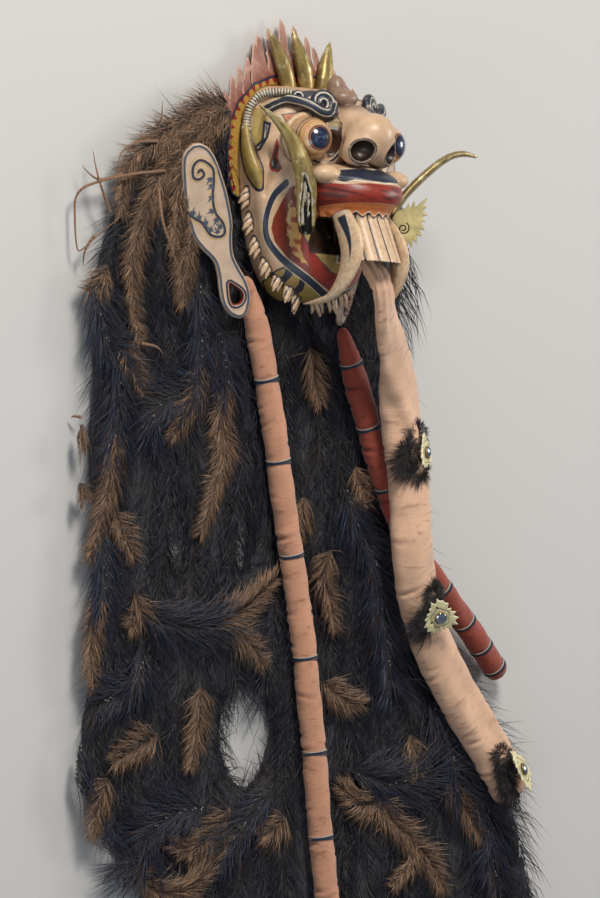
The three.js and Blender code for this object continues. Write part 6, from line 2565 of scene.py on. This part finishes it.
ROLL_LINES = {
    "right": (
        (-119, -178), (-110, -204), (-98, -240), (-80, -312), (-63, -390), (-49, -468), (-36, -530),
        (-22, -598), (-10, -665), (-2, -728), (8, -795), (14, -858), (22, -920), (31, -985), (38, -1048)
    ),
    "left": (
        (58, -244), (78, -296), (97, -345), (117, -395), (138, -445), (166, -497), (201, -543), (243, -586),
        (306, -640, -9), (372, -700, -19)
    ),
}
TONGUE_LINE = (
    (2, -128, 80), (3, -158, 122), (7, -183, 139), (17, -206, 137), (38, -236, 121), (76, -274, 94),
    (106, -316, 74), (122, -350, 63), (131, -385, 59), (140, -430, 58), (146, -482, 58), (150, -532, 57),
    (176, -592, 42), (220, -660, 27), (272, -728, 24), (328, -793, 22), (378, -856, 22)
)
ORNAMENT_SHARES = (0.425, 0.66, 0.955)


def lifted(line: Sequence[Sequence[float]], height: float) -> tuple[Point, ...]:
    """A line of points given by two or three numbers, raised by a height."""
    return tuple((p[0], p[1], (p[2] if len(p) > 2 else 0) + height) for p in line)


STUFFED = (
    Stuffed(
        "tongue_cloth", "tongue", "tongue_cloth", lifted(TONGUE_LINE, MAT_TOP), 66, 46, (0.5, 0.1, 0.36), (),
        ORNAMENT_SHARES, Cotton("Old cotton, pale peach", "#e3b898", "#a9764f", "#8a5a43"), 34, 3, 26, 1.7
    ),
    Stuffed(
        "roll_near", "roll_right", "roll_peach_cloth", lifted(ROLL_LINES["right"], ROLL_HEIGHT), 34, 34,
        (0.55, 0.0, 0.08), (-312, -419, -540, -673, -796, -906, -1010), (),
        Cotton("Old cotton, peach", "#c99172", "#9a6446", "#74452f"), 60, 5, 20
    ),
    Stuffed(
        "roll_far", "roll_left", "roll_red_cloth", lifted(ROLL_LINES["left"], ROLL_HEIGHT), 34, 34,
        (0.55, 0.0, 0.12), (-292, -374, -452, -525, -585, -628, -661, -688), (),
        Cotton("Old cotton, brick red", "#98412f", "#5f261c", "#45180f"), 44, 9, 20
    ),
)


@dataclass(frozen=True)
class Ornament:
    """A tuft of dark fur on the tongue with a gilded leather star and a small round mirror.

    Attributes:
        number: 1 for the upper one.
        tilt: Degrees that its star is turned to the side.
        slip: How far it has slipped up the tongue, in millimetres.
        aim: Where its long hair lies, in degrees from the right.
        lumps: Tufts of its fur: place across and along the tongue, and number of hairs.
        plate: Reach of the star.
        stretch: Width and height of the star as shares of its reach.
        mirror: Radius of the mirror.
    """

    number: int
    tilt: float
    slip: float
    aim: float
    lumps: tuple[tuple[float, float, int], ...]
    plate: float = 28.0
    stretch: tuple[float, float] = (0.84, 1.05)
    mirror: float = 8.0

    def axes(self) -> tuple[np.ndarray, np.ndarray, np.ndarray]:
        """Directions across the tongue, up along it and away from it."""
        line = smooth_line(lifted(TONGUE_LINE, MAT_TOP), 200)
        at = int(ORNAMENT_SHARES[self.number - 1] * 199)
        along = line[max(at - 2, 0)] - line[min(at + 2, 199)]
        along /= np.linalg.norm(along)
        flat = np.array(SLEEVE_BROAD) / math.hypot(*SLEEVE_BROAD)
        across = flat - along * (flat @ along)
        across /= np.linalg.norm(across)
        return across, along, np.cross(across, along)

    def centre(self, node: str) -> np.ndarray:
        """Middle of a solid's box in millimetres, moved along the tongue by the ornament's slip."""
        low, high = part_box(f"{node}_{self.number}")
        return (np.array(low) + np.array(high)) * 500 + self.axes()[1] * self.slip

    def tilted(self) -> tuple[np.ndarray, np.ndarray, np.ndarray]:
        """The same directions for the star, which hangs to one side."""
        across, along, up = self.axes()
        turn = math.radians(self.tilt)
        c, s = math.cos(turn), math.sin(turn)
        return across * c - up * s, along, up * c + across * s

    def build(self) -> None:
        """Makes the fur, the star and the mirror."""
        self.fur()
        self.star()
        self.glass()

    def fur(self) -> None:
        """Fur that radiates from a small pad, and long hair that hangs over the tongue's side."""
        draw = np.random.default_rng(SEED + 40 + self.number)
        across, along, up = self.axes()
        strands = Strands([])
        aim = math.radians(self.aim)
        for right, ahead, count in self.lumps:
            base = self.centre("tongue_tuft") + across * right + along * ahead
            angle, reach = draw.uniform(0, 2 * math.pi, count), np.sqrt(draw.uniform(0, 1, count)) * 15
            way = across * np.cos(angle)[:, None] + along * np.sin(angle)[:, None]
            roots = base + way * reach[:, None] + up * draw.uniform(-5, 1.5, count)[:, None]
            first = way + up * draw.uniform(0.1, 0.9, count)[:, None] + draw.normal(0, 0.25, (count, 3))
            fall = up * draw.uniform(-0.7, 0.15, count)[:, None]
            last = way + fall + along * draw.normal(-0.2, 0.3, count)[:, None]
            shade = draw.uniform(0.5, 1.5, (count, 1))
            tint, tip = np.array(linear("#191618")) * shade, np.array(linear("#3a3334")) * shade
            longer = 0.72 + 0.4 * np.cos(angle - aim) + 0.12 * np.sin(5 * angle + self.number)
            length, width = draw.uniform(11, 24, count) * longer, draw.uniform(0.5, 0.95, count)
            strands.add(roots, first, last, length, width, tint, tip)
        count = 380
        base = self.centre("tongue_tuft")
        angle = draw.normal(aim, 0.35, count)
        way = across * np.cos(angle)[:, None] + along * np.sin(angle)[:, None]
        roots = base + way * draw.uniform(4, 22, count)[:, None] - up * 2
        shade = draw.uniform(0.5, 1.4, (count, 1))
        tint, tip = np.array(linear("#1a1417")) * shade, np.array(linear("#2f2429")) * shade
        length, width = draw.uniform(28, 56, count), draw.uniform(0.5, 0.9, count)
        strands.add(roots, way + up * 0.25, way - up * 0.45, length, width, tint, tip)
        for piece in strands.pieces(f"tuft_fur_{self.number}", 20000, Hair("Dark goat fur", 0.5).make()):
            finish_piece(piece, "tuft_fur", f"tongue_tuft_{self.number}")

    def star(self) -> None:
        """The jagged leather plate, cut with small slots and gilded."""
        draw = np.random.default_rng(SEED + 60 + self.number)
        teeth = 17
        turn = draw.uniform(0, 6)
        wide, tall = self.stretch
        outline = []
        for k in range(teeth * 2):
            angle = math.pi * (k + draw.uniform(-0.25, 0.25)) / teeth
            lobe = 0.87 + 0.13 * math.sin(3 * angle + turn)
            reach = self.plate * lobe * (draw.uniform(0.86, 1.0) if k % 2 == 0 else draw.uniform(0.7, 0.82))
            outline.append((wide * reach * math.cos(angle), tall * reach * math.sin(angle)))
        slots = tuple(
            round_outline((13.5 * math.cos(a), 15.5 * math.sin(a)), (1.3, 2.2))
            for a in draw.uniform(0, 6.2, 4)
        )

        def lift(x: np.ndarray, y: np.ndarray) -> np.ndarray:
            """Height of the leather, which is a little wavy."""
            return 0.5 * np.sin(x / 6) * np.cos(y / 7)

        clay = Clay((-32, -44, -3), (32, 44, 3), 1.0)
        clay.add(Board(tuple(outline), slots, 2.2, lift, None, 0.7))
        points, faces = clay.mesh()
        x, y, _ = points.T
        off_ring = np.hypot(x / wide, y / tall) - 13.5 - np.sin(np.arctan2(y, x) * 5)
        numbers = {"edge": 0.6 - inside_outline(x, y, outline), "line": 0.6 - np.abs(off_ring)}
        across, along, up = self.tilted()
        placed = set_along(points, across, along, up, self.centre("tongue_plate") + 5 * up)
        layers = (Layer("line", "#574a2c"), Layer("edge", "#f5eecb"))
        leather = PaintedLeather("Gilded rawhide, pale", "#efe5b2", layers, 0.05, 0.55).make()
        name = f"leather_star_{self.number}"
        piece = make_piece(name, placed, faces, Place.MANTLE, leather, True, numbers)
        finish_piece(piece, "gilt_leather", f"tongue_plate_{self.number}")

    @staticmethod
    def spotted(
        name: str, roughness: float, spots: tuple[float, float, float], colours: tuple[str, str]
    ) -> bpy.types.Material:
        """A metal with dull spots.

        Args:
            name: Name of the material.
            roughness: Its roughness.
            spots: Size of a spot, and the noise values where it begins and is full.
            colours: Colour of the metal and of the spots.

        Returns:
            The material.
        """
        material, tree, shader = material_base(name, colours[0], roughness, 1.0)
        mixed = {0: patches(tree, *spots), 6: rgba(colours[0]), 7: rgba(colours[1])}
        tree.links.new(add_node(tree, *MIX, mixed).outputs[2], shader.inputs["Base Color"])
        return material

    def glass(self) -> None:
        """The domed mirror in its rim of brass wire."""
        deselect()
        bpy.ops.mesh.primitive_uv_sphere_add(segments=40, ring_count=20, radius=self.mirror / 1000)
        dome = bpy.context.object
        bpy.ops.object.mode_set(mode="EDIT")
        bpy.ops.mesh.select_all(action="SELECT")
        bpy.ops.transform.resize(value=(1, 1, 0.42))
        bpy.ops.mesh.bisect(plane_co=(0, 0, -0.0012), plane_no=(0, 0, 1), clear_inner=True, use_fill=True)
        bpy.ops.object.mode_set(mode="OBJECT")
        deselect()
        bpy.ops.mesh.primitive_torus_add(
            major_radius=(self.mirror - 0.6) / 1000, minor_radius=0.0012, major_segments=44, minor_segments=8
        )
        rim = bpy.context.object
        across, along, up = self.tilted()
        # A bright domed mirror whose silver is spotted grey, in thin brass that has browned in patches
        glass, brass = (
            self.spotted(f"Mirror glass {self.number}", 0.06, (5, 0.5, 0.8), ("#b4bfca", "#3c4450")),
            self.spotted(f"Brass wire {self.number}", 0.35, (3, 0.4, 0.7), ("#a3864a", "#4d3a1e")),
        )
        for piece, material, name in ((dome, glass, "mirror"), (rim, brass, "mirror_rim")):
            piece.name = f"{name}_{self.number}"
            points = np.array([v.co[:] for v in piece.data.vertices]) * 1000
            placed = set_along(points, across, along, up, self.centre("tongue_plate") + 8 * up)
            piece.location = (0, 0, 0)
            piece.data.vertices.foreach_set("co", set_down(placed, Place.MANTLE).astype(np.float32).ravel())
            piece.data.update()
            piece.data.shade_smooth()
            piece.data.materials.append(material)
        finish_piece(dome, "mirror_stone", f"tongue_mirror_{self.number}")
        finish_piece(rim, "mirror_stone")


ORNAMENTS = (
    Ornament(1, 24.0, 12.0, 205, ((8, 23, 700), (4, -22, 700), (-14, 2, 500)), 27.0),
    Ornament(2, -30.0, 0.0, 190, ((12, 24, 1100), (-8, -2, 600)), 31.0, (0.9, 1.0)),
    Ornament(3, 30.0, -10.0, 215, ((-12, 2, 900), (-2, 26, 700)), 31.0, (0.86, 1.3)),
)

CAMERA_DISTANCE = 25.0
PICTURE_HEIGHT = 1.167  # Metres that the picture shows from top to bottom
LIGHTS = (
    ("key", (-1.0, 2.2, 2.6), 1.1, 122, (1.0, 0.95, 0.88)),
    ("fill", (-3.0, -1.6, 1.6), 2.2, 26, (0.9, 0.95, 1.0)),
    ("rim", (2.4, 0.2, 1.5), 1.0, 30, (1.0, 0.97, 0.92)),
)  # Name, place in metres, width in metres, watts and colour


def set_scene() -> None:
    """Places the floor, the soft lights and the camera that looks down on the mask's right side."""
    scene = bpy.context.scene
    target = Vector((0.0, -0.402, 0.0205))
    back = Vector((-math.sqrt(0.5), 0.0, math.sqrt(0.5)))
    up = Vector((0.0, 1.0, 0.0))
    turn = Matrix((up.cross(back), up, back)).transposed()
    camera = bpy.data.cameras.new("camera")
    camera.lens = camera.sensor_width * CAMERA_DISTANCE / PICTURE_HEIGHT
    camera.clip_end = 50
    seat = bpy.data.objects.new("camera", camera)
    seat.matrix_world = Matrix.Translation(target + CAMERA_DISTANCE * back) @ turn.to_4x4()
    scene.collection.objects.link(seat)
    scene.camera = seat
    bpy.ops.mesh.primitive_plane_add(size=14, location=(0, -0.4, 0))
    floor = bpy.context.object
    floor.name = "floor"
    # Plain paper with no gleam, so that only the mask's own shadow shows on it
    floor.data.materials.append(material_base("Matt studio paper, pale grey", "#c9c8c6", 0.9)[0])
    world = bpy.data.worlds.new("studio")
    world.use_nodes = True
    world.node_tree.nodes["Background"].inputs["Color"].default_value = (0.75, 0.8, 0.9, 1)
    world.node_tree.nodes["Background"].inputs["Strength"].default_value = 0.24
    scene.world = world
    for name, place, size, power, tint in LIGHTS:
        lamp = bpy.data.lights.new(name, "AREA")
        lamp.shape = "DISK"
        lamp.size = size
        lamp.energy = power
        lamp.color = tint
        stand = bpy.data.objects.new(name, lamp)
        stand.location = place
        aim = Vector((0.0, -0.4, 0.05)) - Vector(place)
        stand.rotation_euler = aim.to_track_quat("-Z", "Y").to_euler()
        scene.collection.objects.link(stand)
    scene.view_settings.view_transform = "Standard"


def main() -> None:
    """Builds every piece of the mask and its mantle."""
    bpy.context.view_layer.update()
    set_scene()
    MaskHead().build()
    for name, sign in SIDES:
        Eyes().build(name, sign)
        Ear(name, sign).build()
    for carving in (*TUSKS, *HORNS, Crest(), CheekFlame()):
        carving.build()
    for cloth in STUFFED:
        cloth.build()
    for ornament in ORNAMENTS:
        ornament.build()
    Mantle().build()


if __name__ == "__main__":
    logging.basicConfig(level=logging.INFO)
    main()
